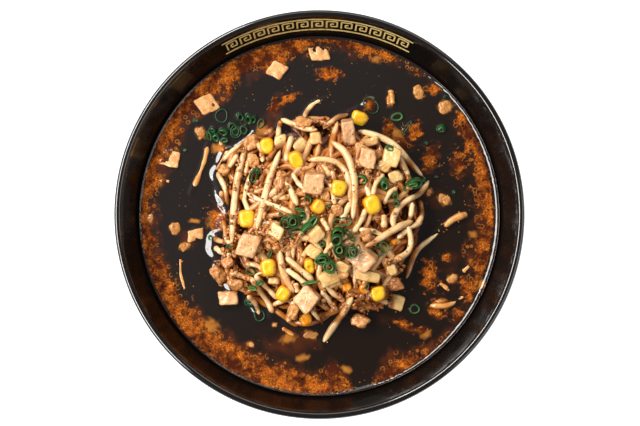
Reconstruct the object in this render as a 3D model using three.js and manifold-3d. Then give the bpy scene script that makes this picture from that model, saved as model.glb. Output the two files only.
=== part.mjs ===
// A served bowl of ramen. A black donburi on a foot ring holds dark broth almost to its brim.
// A heap of bean sprouts and minced pork stands out of the middle of the broth, with diced
// pork, diced onion and corn kernels bedded in it, and a few diced pieces float beside it.
// Millimetres, +Z up, origin at the middle of the face that the foot ring stands on.

import * as THREE from 'three';
import { mergeVertices } from 'three/addons/utils/BufferGeometryUtils.js';
import Module from 'manifold-3d';

const wasm = await Module();
wasm.setup();

// ---------------------------------------------------------------- driving dimensions

// The bowl's wall lies between two spheres round one centre.
const BOWL_HEIGHT = 80;
const WALL = 3.9;
const WALL_MIDDLE_RADIUS = 111.45;
const SPHERE_CENTRE_Z = 119.5;
const INNER_RADIUS = WALL_MIDDLE_RADIUS - WALL / 2;
const OUTER_RADIUS = WALL_MIDDLE_RADIUS + WALL / 2;

// The foot ring, and the recess inside it.
const FOOT_OUTER = 40;
const FOOT_INNER = 34;
const FOOT_CHAMFER = 1;
const RECESS_ROOF_Z = 5.2;
const RECESS_EDGE_Z = 9;
const RECESS_FLAT_SHARE = 0.7;
const RECESS_FLAT_RISE = 0.4;

// The broth stands this high, and touching pieces keep this gap.
const BROTH_LEVEL = 63;
const GAP = 0.3;
const BROTH_RADIUS = INNER_RADIUS - GAP;
const LEVEL_ANGLE = Math.acos((SPHERE_CENTRE_Z - BROTH_LEVEL) / BROTH_RADIUS);

// The heap: its centre, its mean reach, and how far it stands above and below the broth.
const HEAP_CENTRE = [-1, -3];
const HEAP_REACH = 54.5;
const HEAP_CROWN = 20;
const HEAP_EDGE = 2.5;
const HEAP_DEPTH = 8;
const DOME_FLATNESS = 2.4;
const DOME_FULLNESS = 0.8;

// The underside of the heap, as shares of its reach and of its depth.
const HEAP_UNDERSIDE = [
  [0, 1],
  [0.6, 1],
  [0.9, 0.6],
  [1, 0.15],
];

// Hummocks on the dome: height, spacing, start, spacing across, and a finer ripple over them.
const HUMMOCK = 1.3;
const HUMMOCK_PITCH = 17;
const HUMMOCK_START = 1.3;
const HUMMOCK_ACROSS = 0.9;
const RIPPLE_SHARE = 0.5;
const RIPPLE_FREQUENCY = 1.7;

// Bulges and bays of the heap's edge: direction in degrees, added reach and half width.
const HEAP_LOBES = [
  [32, 3, 22],
  [140, 2, 16],
  [180, -9, 12],
  [214, 9, 13],
  [236, -4, 8],
  [262, 3, 10],
  [280, -4, 7],
  [291, 4, 6],
  [311, 5, 8],
  [350, 2, 8],
];

// The longest sprouts on top of the heap, each by points on the plan that it passes over.
const SPROUT_RADIUS = 2;
const SPROUT_RISE = 0.6;
const SPROUTS = [
  [[-39, 35], [-43, 14], [-44, -10]],
  [[-21, 30], [-27, 11], [-32, -9]],
  [[7, 36], [16, 22], [18, -2]],
  [[22, 43], [37, 37], [51, 22]],
  [[52, 14], [40, 5], [38, -7]],
  [[24, -17], [35, -11], [45, -4]],
  [[-20, -19], [-19, -31], [-14, -41]],
  [[-19, 22], [-15, 12], [-11, 4]],
  [[-40, 10], [-30, 6], [-14, 1]],
];

// How finely round things are faceted.
const BOWL_SEGMENTS = 48;
const HEAP_SEGMENTS = 44;
const SPROUT_SIDES = 6;
const SPROUT_STEPS = 4;
const OUTSIDE_STEPS = 7;
const WETTED_STEPS = 7;
const DRY_STEPS = 2;
const LIP_STEPS = 4;
const HEAP_RINGS = 5;
const KERNEL_SIDES = 8;
const KERNEL_BANDS = 6;
const DICE_CUTS = [3, 3, 2];

// Kernels: place on the plan, across and along the crown, turn about Z and lean, in degrees.
const KERNEL_DEPTH = 7.5;
const KERNEL_BLUNTNESS = 2.8;
const KERNEL_TAPER = 0.22;
const KERNELS = [
  { at: [-27, 35], size: [8, 9], turn: 10, lean: 8 },
  { at: [-12, 27], size: [8, 10], turn: 25, lean: 14 },
  { at: [10, 12], size: [9, 8.5], turn: -15, lean: 6 },
  { at: [27, 4], size: [9.5, 10], turn: 20, lean: 10 },
  { at: [-37, -3], size: [9.5, 9.5], turn: 0, lean: 5 },
  { at: [-1, 3], size: [8, 7], turn: 60, lean: 25 },
  { at: [-26, -28], size: [8.5, 9.5], turn: 5, lean: 12 },
  { at: [-5, -27], size: [6, 8.5], turn: 8, lean: 30 },
  { at: [-18, -41], size: [8, 8.5], turn: -35, lean: 25 },
  { at: [30, -41], size: [8.5, 8], turn: 15, lean: 10 },
  { at: [21, 51], size: [10.5, 8.5], turn: -30, lean: 15 },
];

// Diced pieces have blunted corners, and are sheared a little as a knife leaves them.
const DICE_BLUNTING = 0.12;
const DICE_SHEAR = 0.1;

// Diced pieces bedded in the heap: place, the three sides of the dice, turn and lean.
const PORK_DICE = [
  { at: [-3, 15], size: [11, 11, 10], turn: -8, lean: 8 },
  { at: [15, 42], size: [7.5, 13, 9], turn: 12, lean: 24 },
  { at: [25, 28], size: [8.5, 9, 8], turn: -10, lean: 10 },
  { at: [-36, -17], size: [9.5, 11, 9], turn: -14, lean: 8 },
  { at: [22, -23], size: [12, 9, 9], turn: -38, lean: 20 },
  { at: [-6, -44], size: [9.5, 10.5, 8], turn: -40, lean: 16 },
  { at: [-47, -43], size: [9.5, 7.5, 8], turn: -4, lean: 6 },
];
const ONION_DICE = [
  { at: [37, 29], size: [9.5, 8.5, 7], turn: -20, lean: 10 },
  { at: [-22, -10], size: [8.5, 8, 7], turn: -25, lean: 12 },
  { at: [-2, -11], size: [7.5, 7, 7], turn: 35, lean: 25 },
  { at: [5, -33], size: [9, 8, 7], turn: 20, lean: 14 },
  { at: [40, -45], size: [7, 7.5, 7], turn: -12, lean: 8 },
];

// Diced pieces that float in the broth, with a top about this far above it.
const FLOAT_RISE = 1.8;
const FLOATING_DICE = [
  { at: [0, 85], size: [9, 7, 6], turn: 8, lean: 2 },
  { at: [-22, 76], size: [7.5, 8.5, 6], turn: -30, lean: 3 },
  { at: [-59, 58], size: [9, 9, 6.5], turn: 30, lean: 5 },
  { at: [-78, 30], size: [9.5, 9, 5.5], turn: -12, lean: 4 },
  { at: [-64, -10], size: [8, 7, 6], turn: 10, lean: 6 },
];

// A bedded piece shows this share of its height above the heap.
const SHOWN_SHARE = 0.42;

// ---------------------------------------------------------------- materials

const material = (color, roughness) => new THREE.MeshStandardMaterial({ color, roughness, metalness: 0 });
const BLACK_GLAZE = material(0x14100e, 0.12);
const DARK_BROTH = material(0x2a1e16, 0.08);
const SPROUT = material(0xdcb983, 0.4);
const PORK = material(0xdfb08c, 0.5);
const ONION = material(0xe8cda0, 0.35);
const CORN = material(0xf5c828, 0.25);

// ---------------------------------------------------------------- solids and meshes

/** Welds a closed geometry's corners, drops what collapses at a pole, and makes it a solid. */
function toSolid(geometry) {
  geometry.deleteAttribute('normal');
  geometry.deleteAttribute('uv');
  const welded = mergeVertices(geometry);
  const index = welded.index.array;
  const triangles = [];
  for (let i = 0; i < index.length; i += 3) {
    const [a, b, c] = [index[i], index[i + 1], index[i + 2]];
    if (a !== b && b !== c && c !== a) triangles.push(a, b, c);
  }
  return new wasm.Manifold(new wasm.Mesh({
    numProp: 3,
    vertProperties: new Float32Array(welded.attributes.position.array),
    triVerts: new Uint32Array(triangles),
  }));
}

/** Turns a solid back into a named mesh. */
function toMesh(name, solid, finish) {
  const { vertProperties, triVerts } = solid.getMesh();
  const geometry = new THREE.BufferGeometry();
  geometry.setAttribute('position', new THREE.BufferAttribute(new Float32Array(vertProperties), 3));
  geometry.setIndex(new THREE.BufferAttribute(new Uint32Array(triVerts), 1));
  geometry.computeVertexNormals();
  const mesh = new THREE.Mesh(geometry, finish);
  mesh.name = name;
  return mesh;
}

/** A profile of [radius, height] pairs, walked up the outside and down the inside, spun about Z. */
function spin(profile, segments) {
  const points = profile.map(([radius, height]) => new THREE.Vector2(radius, height));
  return new THREE.LatheGeometry(points, segments).rotateX(Math.PI / 2);
}

/** Moves every vertex of a geometry to where the function puts it. */
function reshape(geometry, move) {
  const position = geometry.attributes.position;
  const vertex = new THREE.Vector3();
  for (let i = 0; i < position.count; i += 1) {
    move(vertex.fromBufferAttribute(position, i));
    position.setXYZ(i, vertex.x, vertex.y, vertex.z);
  }
  return geometry;
}

/** Points along an arc of the wall's spheres, from one angle to another measured from straight down. */
function wallArc(radius, from, to, steps) {
  return Array.from({ length: steps + 1 }, (_, i) => {
    const angle = from + (to - from) * i / steps;
    return [radius * Math.sin(angle), SPHERE_CENTRE_Z - radius * Math.cos(angle)];
  });
}

// ---------------------------------------------------------------- bowl and broth

/** The bowl: foot ring, spherical outside, round lip and spherical inside. */
function bowlSolid() {
  const lipRadius = WALL / 2;
  const lipZ = BOWL_HEIGHT - lipRadius;
  const lipAngle = Math.acos((SPHERE_CENTRE_Z - lipZ) / WALL_MIDDLE_RADIUS);
  const lipX = WALL_MIDDLE_RADIUS * Math.sin(lipAngle);
  const footAngle = Math.asin(FOOT_OUTER / OUTER_RADIUS);
  const underside = [
    [0, RECESS_ROOF_Z],
    [FOOT_INNER * RECESS_FLAT_SHARE, RECESS_ROOF_Z + RECESS_FLAT_RISE],
    [FOOT_INNER, RECESS_EDGE_Z],
    [FOOT_INNER + FOOT_CHAMFER / 2, 0],
    [FOOT_OUTER - FOOT_CHAMFER, 0],
    [FOOT_OUTER - FOOT_CHAMFER / 2, FOOT_CHAMFER],
  ];
  const outside = wallArc(OUTER_RADIUS, footAngle, lipAngle, OUTSIDE_STEPS);
  const lip = Array.from({ length: LIP_STEPS }, (_, i) => {
    const turn = lipAngle - Math.PI / 2 + Math.PI * (i + 1) / (LIP_STEPS + 1);
    return [lipX + lipRadius * Math.cos(turn), lipZ + lipRadius * Math.sin(turn)];
  });
  const dry = wallArc(INNER_RADIUS, lipAngle, LEVEL_ANGLE, DRY_STEPS);
  const wetted = wallArc(INNER_RADIUS, LEVEL_ANGLE, 0, WETTED_STEPS);
  return toSolid(spin([...underside, ...outside, ...lip, ...dry, ...wetted.slice(1)], BOWL_SEGMENTS));
}

/** The broth: a spherical cap that lines the bowl's inside, facet for facet, under a flat top. */
function brothSolid() {
  const wetted = wallArc(BROTH_RADIUS, 0, LEVEL_ANGLE, WETTED_STEPS);
  return toSolid(spin([...wetted, [0, BROTH_LEVEL]], BOWL_SEGMENTS));
}

// ---------------------------------------------------------------- heap

/** How far the heap reaches in a direction: its mean reach with each bulge or bay added. */
function heapReach(angle) {
  return HEAP_LOBES.reduce((reach, [direction, added, width]) => {
    const off = THREE.MathUtils.radToDeg(angle) - direction;
    const turn = THREE.MathUtils.euclideanModulo(off + 180, 360) - 180;
    return reach + added * Math.exp(-((turn / width) ** 2));
  }, HEAP_REACH);
}

/** Low hummocks that keep the heap from being a smooth dome. */
function hummock(x, y) {
  const k = 2 * Math.PI / HUMMOCK_PITCH;
  const swell = Math.sin(k * x + HUMMOCK_START) * Math.cos(k * y * HUMMOCK_ACROSS);
  const ripple = RIPPLE_SHARE * Math.sin(k * RIPPLE_FREQUENCY * (x + y));
  return HUMMOCK * (swell + ripple);
}

/** Height of the dome above the broth at a share of the way out to the edge. */
function domeRise(share) {
  return HEAP_EDGE + (HEAP_CROWN - HEAP_EDGE) * (1 - share ** DOME_FLATNESS) ** DOME_FULLNESS;
}

/** Height of the heap's top over any point of the plan. */
function heapTop(x, y) {
  const [dx, dy] = [x - HEAP_CENTRE[0], y - HEAP_CENTRE[1]];
  const share = Math.min(1, Math.hypot(dx, dy) / heapReach(Math.atan2(dy, dx)));
  return BROTH_LEVEL + domeRise(share) + hummock(x, y) * (1 - share);
}

/** The heap: a spun profile stretched out to the uneven edge, grown all over by a margin. */
function heapSolid(margin) {
  const under = HEAP_UNDERSIDE.map(([reach, depth]) => [reach, -HEAP_DEPTH * depth]);
  const top = Array.from({ length: HEAP_RINGS + 1 }, (_, i) => {
    const share = Math.cos(Math.PI / 2 * i / HEAP_RINGS);
    return [i === HEAP_RINGS ? 0 : share, domeRise(share)];
  });
  const geometry = reshape(spin([...under, ...top], HEAP_SEGMENTS), (vertex) => {
    const share = Math.hypot(vertex.x, vertex.y);
    const angle = Math.atan2(vertex.y, vertex.x);
    const above = vertex.z > 0;
    const radius = share * (heapReach(angle) + margin);
    vertex.x = HEAP_CENTRE[0] + radius * Math.cos(angle);
    vertex.y = HEAP_CENTRE[1] + radius * Math.sin(angle);
    vertex.z += BROTH_LEVEL + (above ? hummock(vertex.x, vertex.y) * (1 - share) : -margin);
  });
  return toSolid(geometry);
}

/** One sprout laid over the heap: a six-sided rod along a curve over the points it passes. */
function sproutSolid(points) {
  const over = points.map(([x, y]) => new THREE.Vector3(x, y, heapTop(x, y) + SPROUT_RISE));
  const section = new THREE.Shape(Array.from({ length: SPROUT_SIDES }, (_, i) => {
    const turn = 2 * Math.PI * i / SPROUT_SIDES;
    return new THREE.Vector2(SPROUT_RADIUS * Math.cos(turn), SPROUT_RADIUS * Math.sin(turn));
  }));
  return toSolid(new THREE.ExtrudeGeometry(section, {
    steps: SPROUT_STEPS,
    bevelEnabled: false,
    extrudePath: new THREE.CatmullRomCurve3(over),
  }));
}

/** The heap with its longest sprouts on top. */
function sproutHeapSolid() {
  return SPROUTS.reduce((heap, points) => heap.add(sproutSolid(points)), heapSolid(0));
}

// ---------------------------------------------------------------- toppings

/** A kernel: a blunt superellipsoid crown that narrows to its tip below. */
function kernelGeometry([across, along], margin) {
  const sphere = new THREE.SphereGeometry(1, KERNEL_SIDES, KERNEL_BANDS);
  return reshape(sphere.rotateX(Math.PI / 2), (vertex) => {
    const sum = vertex.toArray().reduce((total, side) => total + Math.abs(side) ** KERNEL_BLUNTNESS, 0);
    vertex.divideScalar(sum ** (1 / KERNEL_BLUNTNESS));
    const taper = 1 - KERNEL_TAPER * (1 - vertex.z) / 2;
    vertex.x *= (across / 2 + margin) * taper;
    vertex.y *= (along / 2 + margin) * taper;
    vertex.z *= KERNEL_DEPTH / 2 + margin;
  });
}

/** A diced piece: a box with blunted corners, sheared a little. */
function diceGeometry([width, length, height], margin) {
  return reshape(new THREE.BoxGeometry(2, 2, 2, ...DICE_CUTS), (vertex) => {
    const corner = (vertex.lengthSq() - 1) / 2;
    vertex.multiplyScalar(1 - DICE_BLUNTING * corner ** 2);
    vertex.x += DICE_SHEAR * vertex.z;
    vertex.y -= DICE_SHEAR * vertex.x;
    vertex.x *= width / 2 + margin;
    vertex.y *= length / 2 + margin;
    vertex.z *= height / 2 + margin;
  });
}

/** Turns a topping about Z, leans it, and lifts it so that its middle lies at the given height. */
function placed(geometry, { at, turn, lean }, middle) {
  const turned = new THREE.Euler(THREE.MathUtils.degToRad(lean), 0, THREE.MathUtils.degToRad(turn), 'ZXY');
  const matrix = new THREE.Matrix4().makeRotationFromEuler(turned);
  return geometry.applyMatrix4(matrix.setPosition(at[0], at[1], middle));
}

/** Middle height of a piece that the heap holds, from the piece's own height. */
function beddedMiddle(piece, height) {
  return heapTop(...piece.at) + (SHOWN_SHARE - 0.5) * height;
}

/** Middle height of a floating piece. */
function floatingMiddle(piece) {
  return BROTH_LEVEL + FLOAT_RISE - piece.size[2] / 2;
}

/** One topping with its finish: shape(margin) gives its solid, grown by a margin. */
function topping(name, finish, makeGeometry, piece, middle) {
  const shape = (margin) => toSolid(placed(makeGeometry(piece.size, margin), piece, middle));
  return { name, finish, shape };
}

/** Numbers a list of like toppings. */
function toppings(kind, finish, makeGeometry, pieces, middleOf) {
  return pieces.map((piece, i) => topping(`${kind}_${i + 1}`, finish, makeGeometry, piece, middleOf(piece)));
}

const kernelMiddle = (piece) => beddedMiddle(piece, KERNEL_DEPTH);
const diceMiddle = (piece) => beddedMiddle(piece, piece.size[2]);
const ALL_TOPPINGS = [
  ...toppings('corn', CORN, kernelGeometry, KERNELS, kernelMiddle),
  ...toppings('pork', PORK, diceGeometry, PORK_DICE, diceMiddle),
  ...toppings('onion', ONION, diceGeometry, ONION_DICE, diceMiddle),
  ...toppings('floating', PORK, diceGeometry, FLOATING_DICE, floatingMiddle),
];

// ---------------------------------------------------------------- assembly

/** Cuts a clear pocket for every topping out of a solid. */
function withPockets(solid) {
  return ALL_TOPPINGS.reduce((rest, { shape }) => rest.subtract(shape(GAP)), solid);
}

const ramen = new THREE.Group();
ramen.add(toMesh('bowl', bowlSolid(), BLACK_GLAZE));
ramen.add(toMesh('broth', withPockets(brothSolid().subtract(heapSolid(GAP))), DARK_BROTH));
ramen.add(toMesh('sprout_heap', withPockets(sproutHeapSolid()), SPROUT));
for (const { name, finish, shape } of ALL_TOPPINGS) {
  ramen.add(toMesh(name, shape(0), finish));
}

export default ramen;
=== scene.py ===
"""A served bowl of ramen, finished over its CAD frame.

A black bowl, dark broth with foam along the wall, and a heap of bean sprouts, mince, sweetcorn,
diced pork and onion, and spring onion. Blender's units are metres, and MM turns millimetres into
them. The tables give places on the plan and sizes in millimetres, and turns in degrees.
"""

import math

import bpy
import numpy as np
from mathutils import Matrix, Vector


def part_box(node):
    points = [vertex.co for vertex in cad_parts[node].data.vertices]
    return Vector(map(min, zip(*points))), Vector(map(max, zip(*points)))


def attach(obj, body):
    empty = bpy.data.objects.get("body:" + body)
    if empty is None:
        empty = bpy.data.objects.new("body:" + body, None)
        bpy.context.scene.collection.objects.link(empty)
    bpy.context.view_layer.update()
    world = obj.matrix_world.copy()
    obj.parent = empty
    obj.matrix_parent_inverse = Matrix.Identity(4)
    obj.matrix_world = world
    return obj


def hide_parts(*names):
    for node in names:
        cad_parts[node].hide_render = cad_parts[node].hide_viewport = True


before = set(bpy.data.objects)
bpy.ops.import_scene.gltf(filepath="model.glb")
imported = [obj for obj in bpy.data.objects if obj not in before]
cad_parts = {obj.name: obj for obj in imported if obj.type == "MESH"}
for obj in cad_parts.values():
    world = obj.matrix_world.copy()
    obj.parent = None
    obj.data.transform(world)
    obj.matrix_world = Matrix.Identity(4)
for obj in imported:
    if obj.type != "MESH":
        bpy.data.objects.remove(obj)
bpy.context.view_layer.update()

MM = 0.001
FULL_TURN = 2 * math.pi

# ------------------------------------------------------------------ sizes from the frame

_, BOWL_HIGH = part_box("bowl")
BROTH_LOW, BROTH_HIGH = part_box("broth")
LEVEL = BROTH_HIGH.z
INNER_RADIUS = 109.5 * MM
OUTER_RADIUS = 113.4 * MM
MIDDLE_RADIUS = (OUTER_RADIUS + INNER_RADIUS) / 2
SPHERE_Z = BROTH_LOW.z + INNER_RADIUS
LIP_RADIUS = 1.95 * MM
FOOT_OUTER = 40 * MM
FOOT_INNER = 34 * MM
FOOT_ROUND = 0.8 * MM
RECESS_ROOF = 5.2 * MM

# The heap's plan and dome, as in the frame; the lobes are direction, added reach and half width.
HEAP_CENTRE = np.array([-1.0, -3.0]) * MM
HEAP_REACH = 54.5 * MM
HEAP_CROWN = 20 * MM
HEAP_EDGE = 2.5 * MM
HEAP_LOBES = [
    (32, 3, 22), (140, 2, 16), (180, -9, 12), (214, 9, 13), (236, -4, 8), (262, 3, 10),
    (280, -4, 7), (291, 4, 6), (311, 5, 8), (350, 2, 8),
]

# ------------------------------------------------------------------ numbers and noise


def around(count):
    """That many equal steps round a full turn, in radians."""
    return np.linspace(0, FULL_TURN, count, endpoint=False)


def lobed(angle, base, lobes):
    """base plus, for each lobe of (direction, added, half width), added * exp(-(off / width)^2)."""
    total = np.full(np.shape(angle), float(base))
    for direction, added, width in lobes:
        off = (np.degrees(angle) - direction + 180) % 360 - 180
        total += added * MM * np.exp(-((off / width) ** 2))
    return total


def waves(points, pitch, seed, count=9):
    """Smooth noise of about -1 to 1: the mean of sine waves of random heading, pitch and phase."""
    rng = np.random.default_rng(seed)
    headings = rng.normal(size=(count, points.shape[-1]))
    headings /= np.linalg.norm(headings, axis=1, keepdims=True)
    numbers = FULL_TURN / (pitch * rng.uniform(0.6, 1.6, count))
    phases = rng.uniform(0, FULL_TURN, count)
    return np.sin(points @ (headings * numbers[:, None]).T + phases).mean(-1) * 1.8


def smoothstep(low, high, value):
    """0 below low, 1 above high, and 3 t^2 - 2 t^3 between them."""
    t = np.clip((value - low) / (high - low), 0, 1)
    return t * t * (3 - 2 * t)


def ovals(x, y, table):
    """Highest, over ovals of (place, half width, half length, turn), of 1 at the middle less the
    distance out as a share of the oval: 0 at its edge and below 0 outside."""
    best = np.full(np.shape(x), -9.0)
    for cx, cy, wide, long, turn in table:
        dx, dy = x - cx * MM, y - cy * MM
        c, s = math.cos(math.radians(turn)), math.sin(math.radians(turn))
        across = (dx * c + dy * s) / (wide * MM)
        along = (dy * c - dx * s) / (long * MM)
        best = np.maximum(best, 1 - np.hypot(across, along))
    return best


def heap_share(x, y):
    """How far out a point of the plan lies, as a share of the heap's reach in its direction."""
    dx, dy = x - HEAP_CENTRE[0], y - HEAP_CENTRE[1]
    return np.hypot(dx, dy) / lobed(np.arctan2(dy, dx), HEAP_REACH, HEAP_LOBES)


def heap_top(x, y):
    """Top of the heap's dome: edge + (crown - edge) * (1 - share^2.4)^0.8 over the broth's level,
    and a quick fall to the level outside the edge."""
    share = heap_share(x, y)
    inside = np.clip(share, 0, 1)
    rise = HEAP_EDGE + (HEAP_CROWN - HEAP_EDGE) * (1 - inside ** 2.4) ** 0.8
    return LEVEL + rise * np.exp(-np.clip(share - 1, 0, None) * 18)


def core_top(x, y):
    """The core under the loose pieces: the dome with 0.85 of its rise, lowered by 7 mm."""
    return LEVEL + (heap_top(x, y) - LEVEL) * 0.85 - 7 * MM


def wall_radius(height):
    """Radius of the bowl's inside at a height."""
    return math.sqrt(INNER_RADIUS ** 2 - (SPHERE_Z - height) ** 2)


# ------------------------------------------------------------------ meshes from arrays


def make_piece(name, vertices, faces, attributes=None):
    """A smooth object at the origin, from vertices, face arrays and numbers at the vertices."""
    mesh = bpy.data.meshes.new(name)
    mesh.vertices.add(len(vertices))
    mesh.vertices.foreach_set("co", np.ascontiguousarray(vertices, np.float32).ravel())
    corners = np.concatenate([f.ravel() for f in faces]).astype(np.int32)
    sides = np.concatenate([np.full(len(f), f.shape[1]) for f in faces])
    starts = np.concatenate([[0], np.cumsum(sides)[:-1]]).astype(np.int32)
    mesh.loops.add(len(corners))
    mesh.loops.foreach_set("vertex_index", corners)
    mesh.polygons.add(len(sides))
    mesh.polygons.foreach_set("loop_start", starts)
    mesh.polygons.foreach_set("use_smooth", np.ones(len(sides), bool))
    for label, values in (attributes or {}).items():
        layer = mesh.attributes.new(label, "FLOAT", "POINT")
        layer.data.foreach_set("value", np.ascontiguousarray(values, np.float32).ravel())
    mesh.update(calc_edges=True)
    mesh.validate()
    piece = bpy.data.objects.new(name, mesh)
    bpy.context.scene.collection.objects.link(piece)
    return piece


def finish_piece(piece, material, nodes=()):
    """Gives a piece its material and its body, hides the nodes of the frame that it stands for, and
    keeps at each vertex how far its surface looks up."""
    piece.data.materials.append(material)
    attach(piece, "root")
    if nodes:
        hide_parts(*nodes)
    normals = np.zeros(len(piece.data.vertices) * 3, np.float32)
    piece.data.vertex_normals.foreach_get("vector", normals)
    # How far the surface looks up, which the finishes use to paint shade on the sides that face
    # away from up.
    crest = piece.data.attributes.new("crest", "FLOAT", "POINT")
    crest.data.foreach_set("value", np.ascontiguousarray(normals[2::3]))


def band_faces(rings, sides, close_rings=False):
    """Quads between neighbouring rings of vertices, each ring closed on itself."""
    ring = np.arange(rings if close_rings else rings - 1)[:, None]
    side = np.arange(sides)[None, :]
    after = (ring + 1) % rings
    turn = (side + 1) % sides
    quads = [ring * sides + side, ring * sides + turn, after * sides + turn, after * sides + side]
    return np.stack(np.broadcast_arrays(*quads), -1).reshape(-1, 4)


def shells(rings):
    """Closed bodies from an array (body, ring, side, xyz): bands of quads, and a fan at each end
    round the mean of the end ring."""
    bodies, count, sides, _ = rings.shape
    ends = rings[:, [0, -1]].mean(2)
    vertices = np.concatenate([rings.reshape(bodies, -1, 3), ends], 1)
    each = count * sides + 2
    side = np.arange(sides)
    turn = (side + 1) % sides
    last = (count - 1) * sides
    low = np.stack([np.full(sides, each - 2), turn, side], -1)
    high = np.stack([np.full(sides, each - 1), last + side, last + turn], -1)
    start = (np.arange(bodies) * each)[:, None, None]
    quads = (band_faces(count, sides) + start).reshape(-1, 4)
    fans = (np.concatenate([low, high]) + start).reshape(-1, 3)
    return vertices.reshape(-1, 3), [quads, fans]


def tori(rings):
    """Bodies closed both ways round from an array (body, ring, side, xyz)."""
    bodies, count, sides, _ = rings.shape
    start = (np.arange(bodies) * count * sides)[:, None, None]
    return rings.reshape(-1, 3), [(band_faces(count, sides, True) + start).reshape(-1, 4)]


def spun(profile, turn):
    """A grid from a profile of (radius, height) carried round Z: r cos t, r sin t, z."""
    radius, height = profile[:, None, 0], profile[:, None, 1]
    return np.stack([radius * np.cos(turn), radius * np.sin(turn), height + 0 * turn], -1)


# ------------------------------------------------------------------ shader expressions


class Value:
    """A shader number: wraps an output socket, and + - * on it add Math nodes."""

    def __init__(self, finish, socket):
        self.finish = finish
        self.socket = socket

    def math(self, operation, *terms):
        return self.finish.node("ShaderNodeMath", {"operation": operation}, dict(enumerate(terms)))

    def __add__(self, other):
        return self.math("ADD", self, other)

    def __sub__(self, other):
        return self.math("SUBTRACT", self, other)

    def __rsub__(self, other):
        return self.math("SUBTRACT", other, self)

    def __mul__(self, other):
        return self.math("MULTIPLY", self, other)

    __radd__ = __add__
    __rmul__ = __mul__

    def between(self, low, high):
        """0 where the number is below low, 1 above high, smooth between."""
        inputs = {0: self, 1: low, 2: high, 3: 0.0, 4: 1.0}
        return self.finish.node("ShaderNodeMapRange", {"interpolation_type": "SMOOTHSTEP"}, inputs)

    def clamped(self):
        return self.finish.node("ShaderNodeClamp", {}, {0: self, 1: 0.0, 2: 1.0})


class Finish:
    """A procedural material round one Principled shader, with its constants set on the shader."""

    def __init__(self, name, **constants):
        self.material = bpy.data.materials.new(name)
        self.material.use_nodes = True
        self.tree = self.material.node_tree
        self.shader = self.tree.nodes["Principled BSDF"]
        for label, value in constants.items():
            self.shader.inputs[label.replace("_", " ")].default_value = value
        self.place = self.node("ShaderNodeTexCoord", {}, {}, "Object")

    def node(self, kind, settings, inputs, output=0):
        """One node: its settings first, then a value or a link for each named input."""
        made = self.tree.nodes.new(kind)
        for label, value in settings.items():
            setattr(made, label, value)
        for key, value in inputs.items():
            if isinstance(value, Value):
                self.tree.links.new(value.socket, made.inputs[key])
            else:
                made.inputs[key].default_value = value
        return Value(self, made.outputs[output])

    def feed(self, **links):
        """Links values to the shader's own inputs."""
        for label, value in links.items():
            self.tree.links.new(value.socket, self.shader.inputs[label.replace("_", " ")])

    def noise(self, scale, detail=2.0, roughness=0.5):
        """Cloudy noise of about 0 to 1, with that many clouds to the metre."""
        inputs = {"Vector": self.place, "Scale": scale, "Detail": detail, "Roughness": roughness}
        return self.node("ShaderNodeTexNoise", {}, inputs)

    def cells(self, scale, feature="F1"):
        """Distance to the middle, or the edge, of cells with that many to the metre."""
        inputs = {"Vector": self.place, "Scale": scale}
        return self.node("ShaderNodeTexVoronoi", {"feature": feature}, inputs, "Distance")

    def carried(self, label):
        """A number that the mesh carries at its vertices."""
        return self.node("ShaderNodeAttribute", {"attribute_name": label}, {}, "Fac")

    def mix(self, factor, first, second):
        """Colour between two colours, given as sRGB bytes or as a colour made before."""
        first, second = (linear(c) if isinstance(c, tuple) else c for c in (first, second))
        inputs = {0: factor, 6: first, 7: second}
        return self.node("ShaderNodeMix", {"data_type": "RGBA"}, inputs, 2)

    def coats(self, colour, *coats):
        """A colour under coats, each a share of cover and the coat's colour."""
        for share, coat in coats:
            colour = self.mix(share, colour, coat)
        return colour

    def bump(self, height, depth):
        """A relief of the given depth in metres that tilts the surface normal."""
        inputs = {"Height": height, "Distance": depth, "Strength": 1.0}
        self.feed(Normal=self.node("ShaderNodeBump", {}, inputs))


def linear(colour):
    """sRGB bytes as the linear colour, with alpha, that a shader takes."""
    shares = [c / 255 for c in colour]
    bent = [s / 12.92 if s <= 0.04045 else ((s + 0.055) / 1.055) ** 2.4 for s in shares]
    return (*bent, 1.0)


# ------------------------------------------------------------------ finishes


def black_glaze():
    """Near-black glaze, faintly brown, with slow waves in its gloss, glossiest over the lip."""
    finish = Finish("black_glaze", IOR=1.25, Coat_IOR=1.8, Coat_Roughness=0.05)
    cloud = finish.noise(35, 3)
    finish.feed(
        Base_Color=finish.mix(cloud, (8, 6, 5), (20, 15, 12)),
        Roughness=finish.noise(900, 2).between(0.55, 0.8) * 0.06 + cloud * 0.1 + 0.2,
        Coat_Weight=(finish.carried("lip") * 0.92 + finish.carried("inside") * 0.08).clamped(),
    )
    finish.bump(finish.noise(60, 1), 0.05 * MM)
    return finish.material


def bare_foot():
    """The unglazed ring under the foot: matte, dark and finely gritty."""
    finish = Finish("bare_foot", IOR=1.5)
    grit = finish.noise(2500, 3)
    finish.feed(
        Base_Color=finish.mix(grit, (40, 33, 29), (66, 55, 47)),
        Roughness=0.55 + grit * 0.3,
    )
    finish.bump(grit, 0.08 * MM)
    return finish.material


def gold_print():
    """Matt gold print, worn a little thin."""
    finish = Finish("gold_print", IOR=1.5)
    wear = finish.noise(700, 4)
    finish.feed(
        Base_Color=finish.mix(wear.between(0.45, 0.75), (238, 212, 138), (196, 164, 92)),
        Metallic=0.35 - wear * 0.2,
        Roughness=0.4 + wear * 0.2,
    )
    return finish.material


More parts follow.
